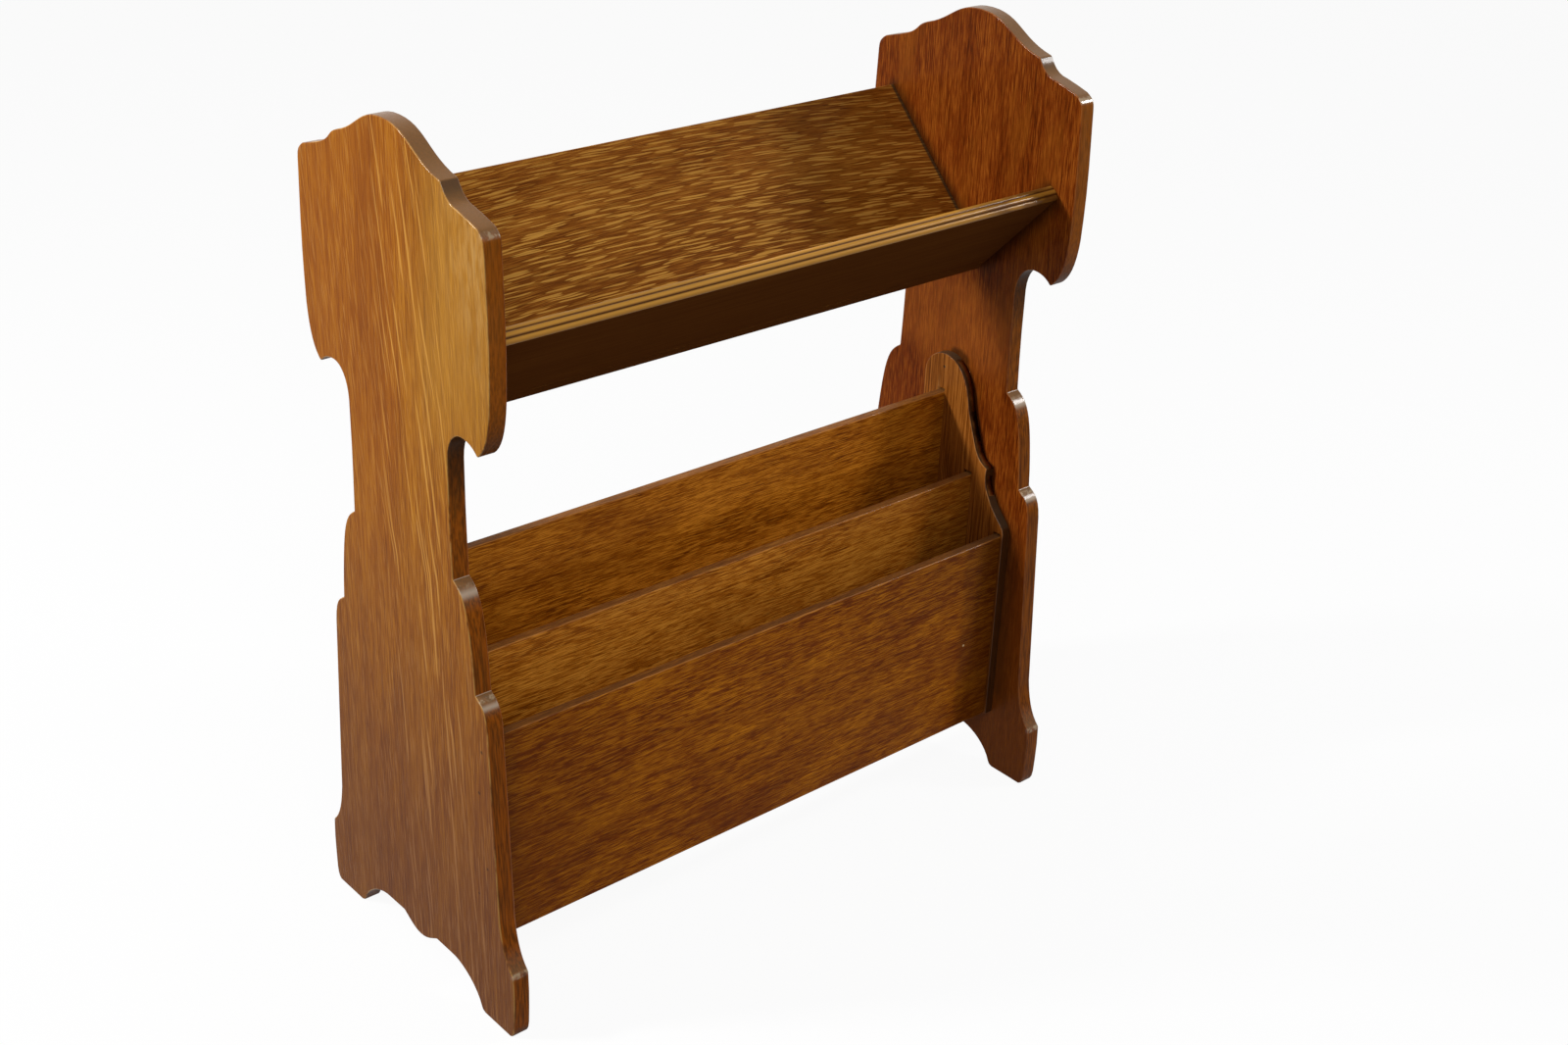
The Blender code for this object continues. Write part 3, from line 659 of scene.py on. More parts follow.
def outer_face(oak, side):
    """The golden face, with long rays down its middle, browner and painted darker as shade at its
    foot.
    """
    _, y, z = oak.place
    layers = [
        (0.90, 0.020, 0.0006, 2.0),
        (0.55, 0.090, 0.0010, 2.0),
        (0.25, 0.400, 0.0080, 1.0),
        (0.20, 0.200, 0.0400, 1.0),
    ]
    oak.grain(0.22, ((100, 47, 2), (144, 82, 10), (180, 118, 30)), layers)
    oak.pores(0.0080, 0.00050, 0.6, 0.5)
    high = (z - 0.40).top(0.0)
    oak.across = y - high * 0.10 - z * 0.08
    oak.wander(0.11, 0.03, 0.005)
    split = y + high * 0.10 + oak.tone(0.15, 0.03, 7.7, lean=0.0) * 0.04
    warm_rear = split.rise(-0.004, 0.022) * z.rise(0.25, 0.55)
    oak.tint(warm_rear * 0.30, paint(140, 68, 4))
    pale_front = split.rise(0.0, -0.05) * z.rise(0.45, 0.60)
    oak.tint(pale_front * 0.35, paint(180, 134, 52))
    bloom = oak.tone(0.030, 0.012, 12.3, 3.0, 0.6).rise(-0.12, 0.16) * z.rise(0.56, 0.70)
    oak.tint(bloom * y.rise(-0.060, -0.125) * 0.30, paint(222, 182, 116))
    # Painted shade: the face is browner, darker and greyer towards the foot, and its rays paler
    # there.
    low = (z + oak.tone(0.12, 0.05, 8.8) * 0.12).rise(0.50, 0.05)
    oak.tint(low * 0.35, paint(112, 66, 40))
    oak.tint(low, (0.67, 0.62, 0.62, 1.0), "MULTIPLY")
    pale = oak.finish.blend(low, paint(212, 154, 68), paint(174, 122, 74))
    oak.rays(0.060, 0.0026, 0.18, pale, 0.22, None, 33.0)
    middle = y.rise(0.030, 0.008) * (y - z * 0.07).rise(-0.125, -0.095)
    oak.rays(0.275, 0.0060, 0.17, pale, 0.56, middle * (z.rise(0.10, 0.40) * 0.4 + 0.6))
    if side < 0:
        oak.tint(spots(oak.finish, y, z, DARK_MARKS) * 0.75, paint(52, 28, 14))
    return oak.colour


def sawn_edges(oak, side, outside):
    """The edges all round an end."""
    _, y, z = oak.place
    facing_x, facing_y, facing_z = oak.facing()
    sawn, rim = sawn_and_rim(facing_x)
    streaks = oak.tone(0.030, 0.0016, 25.0, lean=0.2).rise(-0.22, 0.22)
    dark = paint(92, 46, 8) if side < 0 else paint(84, 38, 4)
    warm = paint(164, 84, 16) if side < 0 else paint(152, 80, 16)
    oak.tint(sawn * 0.85, oak.finish.blend(streaks, dark, warm))
    oak.tint(sawn * z.rise(0.525, 0.550) * 0.40, paint(150, 80, 16))
    # Painted shade on the front edges of the legs, under the ears.
    painted_shade_under_ear = facing_y.rise(-0.5, -0.8) * z.rise(0.455, 0.515) * abs(y).rise(0.090, 0.080)
    oak.tint(sawn * painted_shade_under_ear * 0.75, paint(26, 14, 6))
    # Grey where the edges look up: partly dusty, partly a painted sheen.
    oak.tint(sawn * facing_z.rise(0.30, 0.85) * 0.75, paint(126, 92, 50))
    # A painted glint along the rounded tops of the steps.
    painted_step_glint = facing_z.near(0.60, 0.16) * z.rise(0.30, 0.31) * z.rise(0.43, 0.42)
    oak.tint(sawn * painted_step_glint * 0.60, paint(224, 204, 180))
    # Painted shade where the edges look down.
    oak.tint(sawn * facing_z.rise(0.0, -0.5) * 0.6, paint(50, 26, 6))
    oak.polish = sawn * facing_z.rise(0.25, 0.50) * 0.40 + oak.polish
    oak.wear(rim, oak.finish.blend(outside, paint(166, 96, 34), paint(204, 152, 78)), 0.60)
    # Pale spots on the corners of the steps, ears and feet: partly wear, partly painted glints.
    rubbed = spots(oak.finish, abs(y), z, RUBBED_AND_GLINTING_CORNERS)
    bare = oak.tone(0.006, 0.005, 17.0, 2.0, 0.6, 0.0).rise(-0.10, 0.08)
    oak.tint(rubbed * bare * abs(facing_x).rise(0.97, 0.90) * 0.45, paint(214, 190, 150))
    oak.polish = rubbed * 0.5 + oak.polish


def end_oak(name, side):
    oak = Oak(name, "zyx", seed=0.7 + 1.9 * side)
    inner = inner_face(oak)
    outer = outer_face(oak, side)
    outside = (oak.place[0] * side).rise(0.3035, 0.3085)
    oak.colour = oak.finish.blend(outside, inner, outer)
    sawn_edges(oak, side, outside)
    return oak.close()


ends_finish = {-1: end_oak("golden_end_oak", -1), 1: end_oak("red_end_oak", 1)}
print("finishes of the ends:", [made.name for made in ends_finish.values()])

# %% [markdown]
# ## The finish of the trough
# The back board was cut on the quarter and shows it: pale gold rays lie all over it in thin
# leaves, slightly aslant, between dark brown grain. The front board is plain and dull underneath,
# where it lies in shade, and rubbed to gold along the three reeds of its nose, a gold that is
# partly a painted highlight. The nose is darker in the two valleys between the reeds and in
# patches towards its right end, and painted darker as shade on its lower reed.


# %% Trough boards' oak
BOARD_THICKNESS = 0.0159
SHOULDER = 0.1296
INNER_FACE = 0.3030
ALONG_TROUGH = (1.0, 0.0, 0.0)
UP_BACK_BOARD = (0.0, math.cos(TROUGH_TILT), math.sin(TROUGH_TILT))
UP_FRONT_BOARD = (0.0, -math.sin(TROUGH_TILT), math.cos(TROUGH_TILT))
VALLEY_REACH = 0.0019


def back_board_oak():
    oak = Oak("quartered_trough_oak", "xyz", trough=True, seed=3.1)
    x, up, _ = oak.place
    oak.across = oak.across + x * 0.005 + x * x * 0.15
    oak.wander(0.12, 0.03, 0.0015)
    layers = [(0.9, 0.020, 0.0007, 2.0), (0.3, 0.100, 0.0013, 2.0), (0.3, 0.160, 0.0500, 1.0)]
    oak.grain(0.26, ((78, 34, 4), (136, 75, 18), (194, 126, 48)), layers)
    oak.pores(0.0070, 0.00050, 0.7, 0.5)
    left = (x + oak.tone(0.20, 0.05, 6.1, lean=0.0) * 0.30).rise(0.25, -0.15)
    low = (up + oak.tone(0.08, 0.03, 8.2, lean=0.0) * 0.06).rise(0.165, 0.120)
    oak.rays(0.042, 0.0020, 0.26, paint(212, 148, 56), 0.30, left * 0.4 + 0.6, 2.0)
    oak.rays(0.056, 0.0029, 0.26, paint(236, 174, 78), 0.62, low * 0.3 + 0.7, 21.0)
    right = (x + oak.tone(0.1, 0.04, 4.4) * 0.2).rise(0.02, 0.30)
    oak.tint(right * 0.10, paint(92, 50, 14))
    # A dark, dusty grey strip where the board meets the end: partly dusty, partly painted shade.
    dust_and_shade = x.rise(0.2985, 0.3005) * up.rise(0.012, 0.020)
    oak.tint(dust_and_shade * 0.8, paint(60, 48, 36))
    rubbed = oak.arris(ALONG_TROUGH, UP_BACK_BOARD, UP_FRONT_BOARD)
    oak.wear(rubbed, paint(176, 122, 60), 0.50)
    return oak.close()


def front_board_oak(name, dull):
    oak = Oak(name, "xzy", trough=True, seed=5.9)
    x, through, up = oak.place
    oak.wander(0.25, 0.03, 0.003)
    layers = [(0.9, 0.15, 0.0025, 3.0), (0.7, 0.03, 0.0010, 2.0), (0.5, 0.25, 0.03, 2.0)]
    oak.grain(0.30, ((60, 28, 8), (92, 50, 16), (120, 72, 26)), layers)
    oak.pores(0.0070, 0.00045, 0.6, 0.5)
    if dull:
        oak.tint(0.70, paint(108, 62, 27))
        oak.polish = 0.0
        oak.roughness = 0.85
        return oak.close(shine=0.0)
    nose = up.rise(SHOULDER - 0.0012, SHOULDER + 0.0004)
    # The nose is rubbed to gold, and the gold is partly a painted highlight.
    oak.tint(nose * 0.86, paint(222, 158, 58))
    # Darker in patches towards the right end of the nose.
    darker_right_end = x.rise(0.14, 0.27) * (oak.tone(0.03, 0.01, 27.0).rise(-0.1, 0.1) * 0.6 + 0.4)
    oak.tint(nose * darker_right_end * 0.85, paint(96, 56, 26))
    third = BOARD_THICKNESS / 3
    valley = through.near(third, VALLEY_REACH).top(through.near(2 * third, VALLEY_REACH)) * nose
    oak.tint(valley * 0.95, paint(88, 46, 14))
    # Painted shade on the lower reed, the one that faces down.
    oak.tint(through.rise(0.0035, 0.0) * nose * 0.55, paint(96, 50, 14))
    oak.polish = nose * 0.3 + oak.polish
    return oak.close()


trough_finish = {
    "back": back_board_oak(),
    "front": front_board_oak("plain_trough_oak", False),
    "under": front_board_oak("dull_underside_oak", True),
}
print("finishes of the trough:", [made.name for made in trough_finish.values()])

# %% [markdown]
# ## The finish of the rack
# The three panels lie with their grain level: short golden and dark streaks that cloud over into
# lighter and darker patches, with small pale rays towards their tops. Their long top edges are
# rubbed. Their ends are painted darker as shade where they meet the cheeks, the front panel also
# carries a painted shadow of the right end, and the middle panel painted shade on its right half.
# The cheeks stand upright and have long streaks and dark sawn edges, with a painted sheen where
# the edges look up, grooves painted dark as shade, and painted shade on the lip by the front panel.


# %% Rack's oak
FRONT_TONES = ((84, 30, 0), (138, 66, 2), (216, 134, 24))
MIDDLE_TONES = ((108, 50, 6), (186, 106, 22), (244, 164, 60))
POCKET_TONES = ((96, 42, 2), (170, 93, 12), (230, 146, 42))
# The colour of painted shade at the panels' ends and in the front panel's painted shadow.
PAINTED_SHADE_BROWN = paint(66, 30, 6)
PIN_GLINT = ((0.2547, 0.1577, 0.0016),)  # a pale speck on the front panel: x, z and reach


def panel_oak(name, seed, tones, reds=0.0):
    oak = Oak(name, "xzy", seed=seed)
    x, _, z = oak.place
    oak.wander(0.14, 0.04, 0.003)
    layers = [
        (1.1, 0.009, 0.0006, 2.0),
        (0.4, 0.030, 0.0010, 2.0),
        (0.45, 0.070, 0.0300, 2.0),
        (0.3, 0.300, 0.0060, 1.0),
    ]
    oak.grain(0.26, tones, layers)
    oak.pores(0.0060, 0.00050, 0.7, 0.5)
    high = z.rise(0.10, 0.24)
    oak.rays(0.034, 0.0018, 0.26, paint(*tones[2]), 0.58, high * 0.6 + 0.4, 12.0)
    red = oak.tone(0.16, 0.06, 15.0, 2.0).rise(-0.03, 0.20)
    oak.tint(red * (0.28 + reds), paint(112, 46, 4))
    # Painted shade at the ends, where the panels meet the cheeks.
    oak.tint(abs(x).rise(0.262, 0.290) * 0.30, PAINTED_SHADE_BROWN)
    if name == "middle_panel_oak":
        # Painted shade on the right half of the middle panel.
        oak.tint(x.rise(0.0, 0.20) * 0.25, paint(96, 42, 2))
    if name == "front_panel_oak":
        oak.tint(x.rise(-0.10, -0.28) * 0.35, paint(88, 36, 2))
        oak.tint(x.rise(0.06, 0.28) * z.rise(0.18, 0.25) * 0.40, paint(80, 32, 4))
        # A painted shadow of the right end on the front panel.
        oak.tint(x.rise(0.243, 0.253) * 0.30, PAINTED_SHADE_BROWN)
        oak.tint(spots(oak.finish, x, z, PIN_GLINT), paint(232, 206, 160))
    oak.tint(oak.facing()[2].rise(0.60, 0.95) * 0.55, paint(120, 88, 56))
    rubbed = oak.arris((0.0, 1.0, 0.0), (0.0, 0.0, 1.0), (1.0, 0.0, 0.0))
    oak.wear(rubbed, paint(200, 130, 60), 0.60)
    return oak.close(bump=0.3)


def cheek_oak(name, seed):
    oak = Oak(name, "zyx", seed=seed)
    oak.wander(0.25, 0.04, 0.003)
    x, y, z = oak.place
    layers = [(0.9, 0.16, 0.0018, 3.0), (0.8, 0.03, 0.0009, 2.0), (0.4, 0.2, 0.03, 2.0)]
    oak.grain(0.26, ((76, 34, 6), (129, 71, 20), (174, 108, 44)), layers)
    oak.pores(0.0080, 0.00050, 0.75, 0.5)
    # Painted shade in the grooves, where they stand open above the panels.
    painted_groove_shade = 0.0
    for panel in ("rack_rear_panel", "rack_middle_panel", "rack_front_panel"):
        low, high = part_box(panel)
        painted_groove_shade = y.near((low.y + high.y) / 2, 0.0056).rise(0.0, 0.05).top(painted_groove_shade)
    inside = abs(x).rise(0.2934, 0.2938) * z.rise(0.410, 0.405)
    oak.tint(painted_groove_shade * inside * 0.85, paint(24, 12, 4))
    facing_x, _, facing_z = oak.facing()
    sawn, rim = sawn_and_rim(facing_x)
    oak.tint(sawn * 0.85, paint(58, 34, 16))
    # Grey where the edges look up: a painted sheen.
    oak.tint(sawn * facing_z.rise(0.10, 0.70) * 0.50, paint(96, 78, 58))
    oak.polish = sawn * 0.5 + oak.polish
    # Painted shade on the cheek's lip beside the front panel, where no wear is shown.
    beside_front = z.rise(0.272, 0.264) * y.rise(-0.087, -0.090)
    oak.wear(rim * (1.0 - beside_front), paint(204, 140, 72), 0.55)
    oak.tint(beside_front * 0.40, paint(70, 36, 12))
    return oak.close()


rack_finish = {
    "rear_panel": panel_oak("rear_panel_oak", 1.3, POCKET_TONES),
    "middle_panel": panel_oak("middle_panel_oak", 4.6, MIDDLE_TONES),
    "front_panel": panel_oak("front_panel_oak", 8.2, FRONT_TONES),
    "base_board": panel_oak("base_board_oak", 11.9, POCKET_TONES, 0.1),
    "left_cheek": cheek_oak("left_cheek_oak", 2.4),
    "right_cheek": cheek_oak("right_cheek_oak", 6.6),
}
print("finishes of the rack:", [made.name for made in rack_finish.values()])

# %% [markdown]
# ## Beech and steel
# The dowels are bare beech: pale, pinkish and finely freckled. The screws are plain steel gone a
# little dull, and the panel pins are darkened with wax. Both have fine turning marks and brown
# specks.


# %% Beech and steel finishes
DULL_STEEL = ((0.30, 0.28, 0.26, 1.0), (0.50, 0.48, 0.45, 1.0))
WAXED_STEEL = ((0.05, 0.035, 0.02, 1.0), (0.12, 0.085, 0.05, 1.0))
RUST = (0.16, 0.08, 0.04, 1.0)


def beech_finish():
    oak = Oak("bare_beech", "xyz", seed=9.4)
    layers = [(0.6, 0.02, 0.0008, 2.0), (0.5, 0.006, 0.0004, 2.0)]
    oak.grain(0.3, ((170, 128, 88), (196, 160, 118), (214, 184, 146)), layers)
    oak.rays(0.0025, 0.0005, 0.10, paint(150, 100, 64), 0.5)
    oak.polish = 0.0
    return oak.close()


def steel_finish(name, dark, light):
    finish = Finish(bpy.data.materials.new(name))
    place = finish.node("ShaderNodeTexCoord", output="Object")
    broad = finish.noise(place, (0.003, 0.003, 0.003), 1.0, 3.0)
    fine = finish.noise(place, (0.0004, 0.0004, 0.0004), 2.0, 2.0)
    colour = finish.blend(broad.rise(-0.2, 0.2), dark, light)
    colour = finish.blend(fine.rise(0.08, 0.2) * 0.6, colour, RUST)
    sockets = {"Strength": 0.2, "Distance": 0.0002, "Height": fine}
    normal = finish.node("ShaderNodeBump", {}, sockets)
    sockets = {
        "Base Color": colour,
        "Metallic": 1.0,
        "Roughness": fine.rise(-0.2, 0.25) * 0.25 + 0.30,
        "Normal": normal,
    }
    return finish.close(finish.node("ShaderNodeBsdfPrincipled", {}, sockets))


beech = beech_finish()
steel = steel_finish("dull_steel", *DULL_STEEL)
waxed_steel = steel_finish("waxed_pin_steel", *WAXED_STEEL)
print("finishes of the fixings:", beech.name, steel.name, waxed_steel.name)

# %% [markdown]
# ## The end panels
# A real end is marked out once on a board and sawn, and the second one is marked from the first.
# The same is done here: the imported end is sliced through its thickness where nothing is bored,
# which leaves its outline as one flat face. The step behind the crest is softened on that face,
# which is then moved to the inner side and drawn out to the thickness of the board. Its two rims
# are rounded over, and the holes of the dowels and pins are bored last.

# %% Cutting an outline and drawing it out
FIT_GAP = 0.0003
OVERCUT = 0.0040  # how far a cutter stands out of the wood
SIDES = (("left", -1), ("right", 1))
NUMBERS = range(1, 5)  # pins and screws come in fours
DOWEL_FACETS = 24
PIN_FACETS = 16
AXIS_TURNS = ((0.0, math.pi / 2, 0.0), (math.pi / 2, 0.0, 0.0), (0.0, 0.0, 0.0))


def faces_of(node, side):
    """X of a board's face towards the middle of the rack, and of its other face."""
    low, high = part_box(node)
    return (high.x, low.x) if side < 0 else (low.x, high.x)


def section_of(node, name, x_at):
    """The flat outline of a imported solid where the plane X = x_at cuts it."""
    take(frame["nodes"][node])
    bpy.ops.object.duplicate()
    piece = named(name)
    for key in list(piece.keys()):
        del piece[key]
    piece.parent = None
    with editing(piece):
        bpy.ops.mesh.select_all(action="SELECT")
        bpy.ops.mesh.remove_doubles(threshold=WELD)
        bpy.ops.mesh.select_all(action="SELECT")
        bpy.ops.mesh.bisect(
            plane_co=(x_at, 0.0, 0.0),
            plane_no=(1.0, 0.0, 0.0),
            use_fill=True,
            clear_inner=True,
            clear_outer=True,
        )
        bpy.ops.mesh.select_all(action="SELECT")
        bpy.ops.mesh.fill_holes(sides=20)
        bpy.ops.mesh.select_all(action="SELECT")
        bpy.ops.mesh.dissolve_limited(angle_limit=math.radians(0.2))
    return piece


def draw_out(piece, x_at, x_from, x_to):
    """Moves the outline from x_at to x_from and extrudes it to x_to."""
    with editing(piece):
        bpy.ops.mesh.select_mode(type="FACE")
        bpy.ops.mesh.select_all(action="SELECT")
        bpy.ops.transform.translate(value=(x_from - x_at, 0.0, 0.0))
        extrude(x_to - x_from, 0.0, 0.0)
        bpy.ops.mesh.select_all(action="SELECT")
        bpy.ops.mesh.normals_make_consistent(inside=False)


def round_rim(piece, x_at, width):
    """Rounds the rim of the face at X = x_at."""

    def on_rim(middle, direction):
        return abs(middle.x - x_at) < WELD and abs(direction.x) < 1e-3

    round_edges(piece, on_rim, width, 4)


def bore(piece, node, facets, past, radius=None):
    """Cuts the hole of a packed dowel or pin, longer at each end by past."""
    low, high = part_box(node)
    size = high - low
    axis = max(range(3), key=lambda i: size[i])
    start_clean()
    bpy.ops.mesh.primitive_cylinder_add(
        vertices=facets,
        radius=radius or min(size) / 2 + FIT_GAP,
        depth=size[axis] + 2 * past,
        location=(low + high) / 2,
        rotation=AXIS_TURNS[axis],
    )
    cutter = bpy.context.object
    settle()
    cut_away(piece, cutter)


def bore_dowels(piece, start):
    """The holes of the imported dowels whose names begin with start."""
    for node in sorted(n for n in frame["nodes"] if n.startswith(start) and "dowel" in n):
        bore(piece, node, DOWEL_FACETS, FIT_GAP)


# %% Two ends
END_SLICE = 0.0130  # from the inner face, past the dowels and the pins
END_ARRIS = 0.0011
REAR_STEP = ((0.060, 0.102), (0.705, 0.744))  # the Y and the Z that it lies between
SHANK_HOLE_RADIUS = 0.0010  # in the ends, where the heads of the pins don't reach


def soften_rear_step(piece):
    """The step behind the crest was sanded round, where the front one stayed crisp."""

    def at_step(point):
        (near, far), (low, high) = REAR_STEP
        return near < point.co.y < far and low < point.co.z < high

    with editing(piece):
        pick_in(piece, "edges", lambda edge: all(at_step(point) for point in edge.verts))
        bpy.ops.mesh.subdivide(number_cuts=5)
        count = pick_in(piece, "verts", at_step)
        bpy.ops.mesh.vertices_smooth(factor=0.5, repeat=220)
    print(f"{piece.name}: {count} points of the rear step softened")


for side_name, side in SIDES:
    node = f"{side_name}_end"
    inner, outer = faces_of(node, side)
    slice_at = inner + side * END_SLICE
    piece = section_of(node, f"{node}_panel", slice_at)
    soften_rear_step(piece)
    draw_out(piece, slice_at, inner, outer)
    round_rim(piece, inner, END_ARRIS)
    round_rim(piece, outer, END_ARRIS)
    bore_dowels(piece, side_name)
    for number in NUMBERS:
        bore(piece, f"{side_name}_cheek_pin_{number}", PIN_FACETS, FIT_GAP, SHANK_HOLE_RADIUS)
    smooth(piece, 50.0)
    hand_over(piece, ends_finish[side], "end_oak", node)

# %% [markdown]
# ## The trough boards
# The back board is a planed board with rounded long edges. The front board's nose carries three
# reeds: its section is drawn first, with the top edge divided finely and each point moved on to
# its reed, and then drawn out to the length of the board.

# %% Trough boards
BACK_WIDTH = 0.1955
BOARD_ARRIS = 0.0012
NOSE_DEPTH = 0.0038
REEDS = 3
REED_DEPTH = 0.0014
REED_STEPS = 14
REACH = INNER_FACE - FIT_GAP
TROUGH_PLACE = Matrix.Translation(TROUGH_CORNER) @ Matrix.Rotation(TROUGH_TILT, 4, "X")


def place_and_bore(piece, name):
    """Turns a board from the trough's own axes into its place in the rack and bores it."""
    take(piece)
    piece.matrix_world = TROUGH_PLACE
    settle()
    for side_name, _ in SIDES:
        bore_dowels(piece, f"{side_name}_{name}")
    return piece


def make_back_board():
    piece = block("trough_back", (-REACH, 0.0, 0.0), (REACH, BACK_WIDTH, BOARD_THICKNESS))

    def long_and_free(middle, direction):
        joint_corner = middle.y < 0.001 and middle.z > 0.001
        return abs(direction.x) > 0.9 and not joint_corner

    round_edges(piece, long_and_free, BOARD_ARRIS, 5)
    return place_and_bore(piece, "back_board")


def reed_point(share):
    """(through, up) on the reeded nose, at a share of the way over the board's thickness."""
    half = BOARD_THICKNESS / 2
    radius = (half * half + NOSE_DEPTH * NOSE_DEPTH) / (2 * NOSE_DEPTH)
    spread = math.asin(half / radius)
    reed = min(math.floor(share * REEDS), REEDS - 1)
    within = share * REEDS - reed
    across = (1.0 - math.cos(math.pi * within)) / 2
    swell = math.sin(math.pi * within)
    turned = spread * (2 * (reed + across) / REEDS - 1)
    reach = radius - REED_DEPTH * (1.0 - swell)
    up = SHOULDER + NOSE_DEPTH - radius + reach * math.cos(turned)
    return half + reach * math.sin(turned), up


def make_front_board():
    butt = BOARD_THICKNESS + FIT_GAP
    start_clean()
    bpy.ops.mesh.primitive_plane_add(size=1.0, rotation=(0.0, -math.pi / 2, 0.0))
    piece = named("trough_front")
    settle()
    for corner in piece.data.vertices:
        through = BOARD_THICKNESS if corner.co.y > 0 else 0.0
        corner.co = (-REACH, through, SHOULDER if corner.co.z > 0 else butt)

    def on_nose(point):
        return point.co.z > SHOULDER - 1e-4

    with editing(piece):
        pick_in(piece, "edges", lambda edge: all(on_nose(point) for point in edge.verts))
        bpy.ops.mesh.subdivide(number_cuts=REEDS * REED_STEPS - 1)
    for point in piece.data.vertices:
        if on_nose(point):
            point.co.y, point.co.z = reed_point(point.co.y / BOARD_THICKNESS)
    draw_out(piece, -REACH, -REACH, REACH)
    return place_and_bore(piece, "front_board")


back_board = make_back_board()
front_board = make_front_board()
print("length of the trough boards:", round(2 * REACH, 4), "m")

# %% [markdown]
# ## Screws
# Four slotted wood screws hold the two boards together from behind. One screw is turned from a
# cone for its countersunk head, drawn out to a shank and a point, and slotted. The four in the
# trough are copies of it, each with its slot at its own angle, as a screwdriver leaves them.

# %% Screws and their holes
SCREW_LENGTH = 0.0320
SCREW_RADIUS = 0.0021
HEAD_RADIUS = 0.0040
HEAD_DEPTH = 0.0026
POINT_LENGTH = 0.0060
PUNCHED = 0.0006
SLOT_ANGLES = (0.5, 1.9, 1.1, 2.6)
SLOT_LOW = (-0.0050, -0.00045, 0.0)
SLOT_HIGH = (0.0050, 0.00045, PUNCHED + 0.0010)


def turned_screw(name, play=0.0, head_out=0.0):
    """A screw along Z from its head at PUNCHED, grown by play. head_out lengthens the head."""
    start_clean()
    bpy.ops.mesh.primitive_cone_add(
        vertices=40,
        radius1=HEAD_RADIUS + play,
        radius2=SCREW_RADIUS + play,
        depth=HEAD_DEPTH,
        location=(0.0, 0.0, PUNCHED + HEAD_DEPTH / 2),
    )
    piece = named(name)
    settle()
    with editing(piece):
        pick_in(piece, "faces", lambda face: face.normal.z > 0.9)
        extrude(0.0, 0.0, SCREW_LENGTH - POINT_LENGTH - PUNCHED - HEAD_DEPTH)
        extrude(0.0, 0.0, POINT_LENGTH + play)
        bpy.ops.transform.resize(value=(0.12, 0.12, 1.0))
        if head_out:
            pick_in(piece, "faces", lambda face: face.normal.z < -0.9)
            extrude(0.0, 0.0, -head_out)
    return piece


def place_on_trough(piece, x, angle=0.0):
    """Stands a screw in the back board at x, with its slot turned by angle."""
    take(piece)
    stand = Matrix.Translation((x, BOARD_THICKNESS / 2, 0.0)) @ Matrix.Rotation(angle, 4, "Z")
    piece.matrix_world = TROUGH_PLACE @ stand
    settle()


screw_model = turned_screw("trough_screw")
cut_away(screw_model, block("slot", SLOT_LOW, SLOT_HIGH))
for number, angle in zip(NUMBERS, SLOT_ANGLES):
    node = f"trough_screw_{number}"
    low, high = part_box(node)
    x = (low.x + high.x) / 2
    for board in (back_board, front_board):
        cutter = turned_screw("screw_hole", FIT_GAP, OVERCUT)
        place_on_trough(cutter, x)
        cut_away(board, cutter)
    take(screw_model)
    bpy.ops.object.duplicate()
    screw = named(f"screw_{number}")
    place_on_trough(screw, x, angle)
    smooth(screw, 35.0)
    hand_over(screw, steel, "steel", node)
bpy.data.objects.remove(screw_model, do_unlink=True)
smooth(back_board)
hand_over(back_board, trough_finish["back"], "trough_oak", "trough_back_board")
smooth(front_board, 35.0)
hand_over(front_board, trough_finish["front"], "trough_oak", "trough_front_board")
underside = Matrix.Rotation(TROUGH_TILT, 3, "X") @ Vector((0.0, -1.0, 0.0))
for board, least in ((front_board, 0.999), (back_board, 0.7)):
    board.data.materials.append(trough_finish["under"])
    for face in board.data.polygons:
        if face.normal.dot(underside) > least:
            face.material_index = 1

# %% [markdown]
# ## The rack
# Three thin panels and a base board slide into grooves in the cheeks. The panels are planed
# blanks with their top edges rounded. The cheeks are drawn out from their own outline like the
# ends, once its ogee has been moved onto the line with the small nib. Then they are rounded on
# the side that shows, grooved and bored.

# %% Panels and base board
PANEL_ARRIS = 0.0012
SAWN_ARRIS = 0.0003
PIN_PAST = 0.0015


def make_board(name, top_arris):
    low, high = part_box(f"rack_{name}")
    piece = block(name, low, high)
    for height, width, segments in ((high.z, top_arris, 5), (low.z, SAWN_ARRIS, 2)):

        def long_edge(middle, direction):
            return abs(direction.x) > 0.9 and abs(middle.z - height) < 1e-4

        round_edges(piece, long_edge, width, segments)
    for number in NUMBERS:
        if name in ("rear_panel", "base_board"):
            bore(piece, f"rear_panel_pin_{number}", PIN_FACETS, PIN_PAST)
        if name in ("middle_panel", "base_board"):
            bore(piece, f"base_board_pin_{number}", PIN_FACETS, PIN_PAST)
    smooth(piece, 50.0)
    hand_over(piece, rack_finish[name], "rack_oak", f"rack_{name}")


for name in ("rear_panel", "middle_panel", "front_panel"):
    make_board(name, PANEL_ARRIS)
make_board("base_board", SAWN_ARRIS)

# %% Cheeks
CHEEK_SLICE = 0.0075
CHEEK_ARRIS = 0.0009
GROOVE_DEPTH = 0.0053
HEADROOM = 0.0030


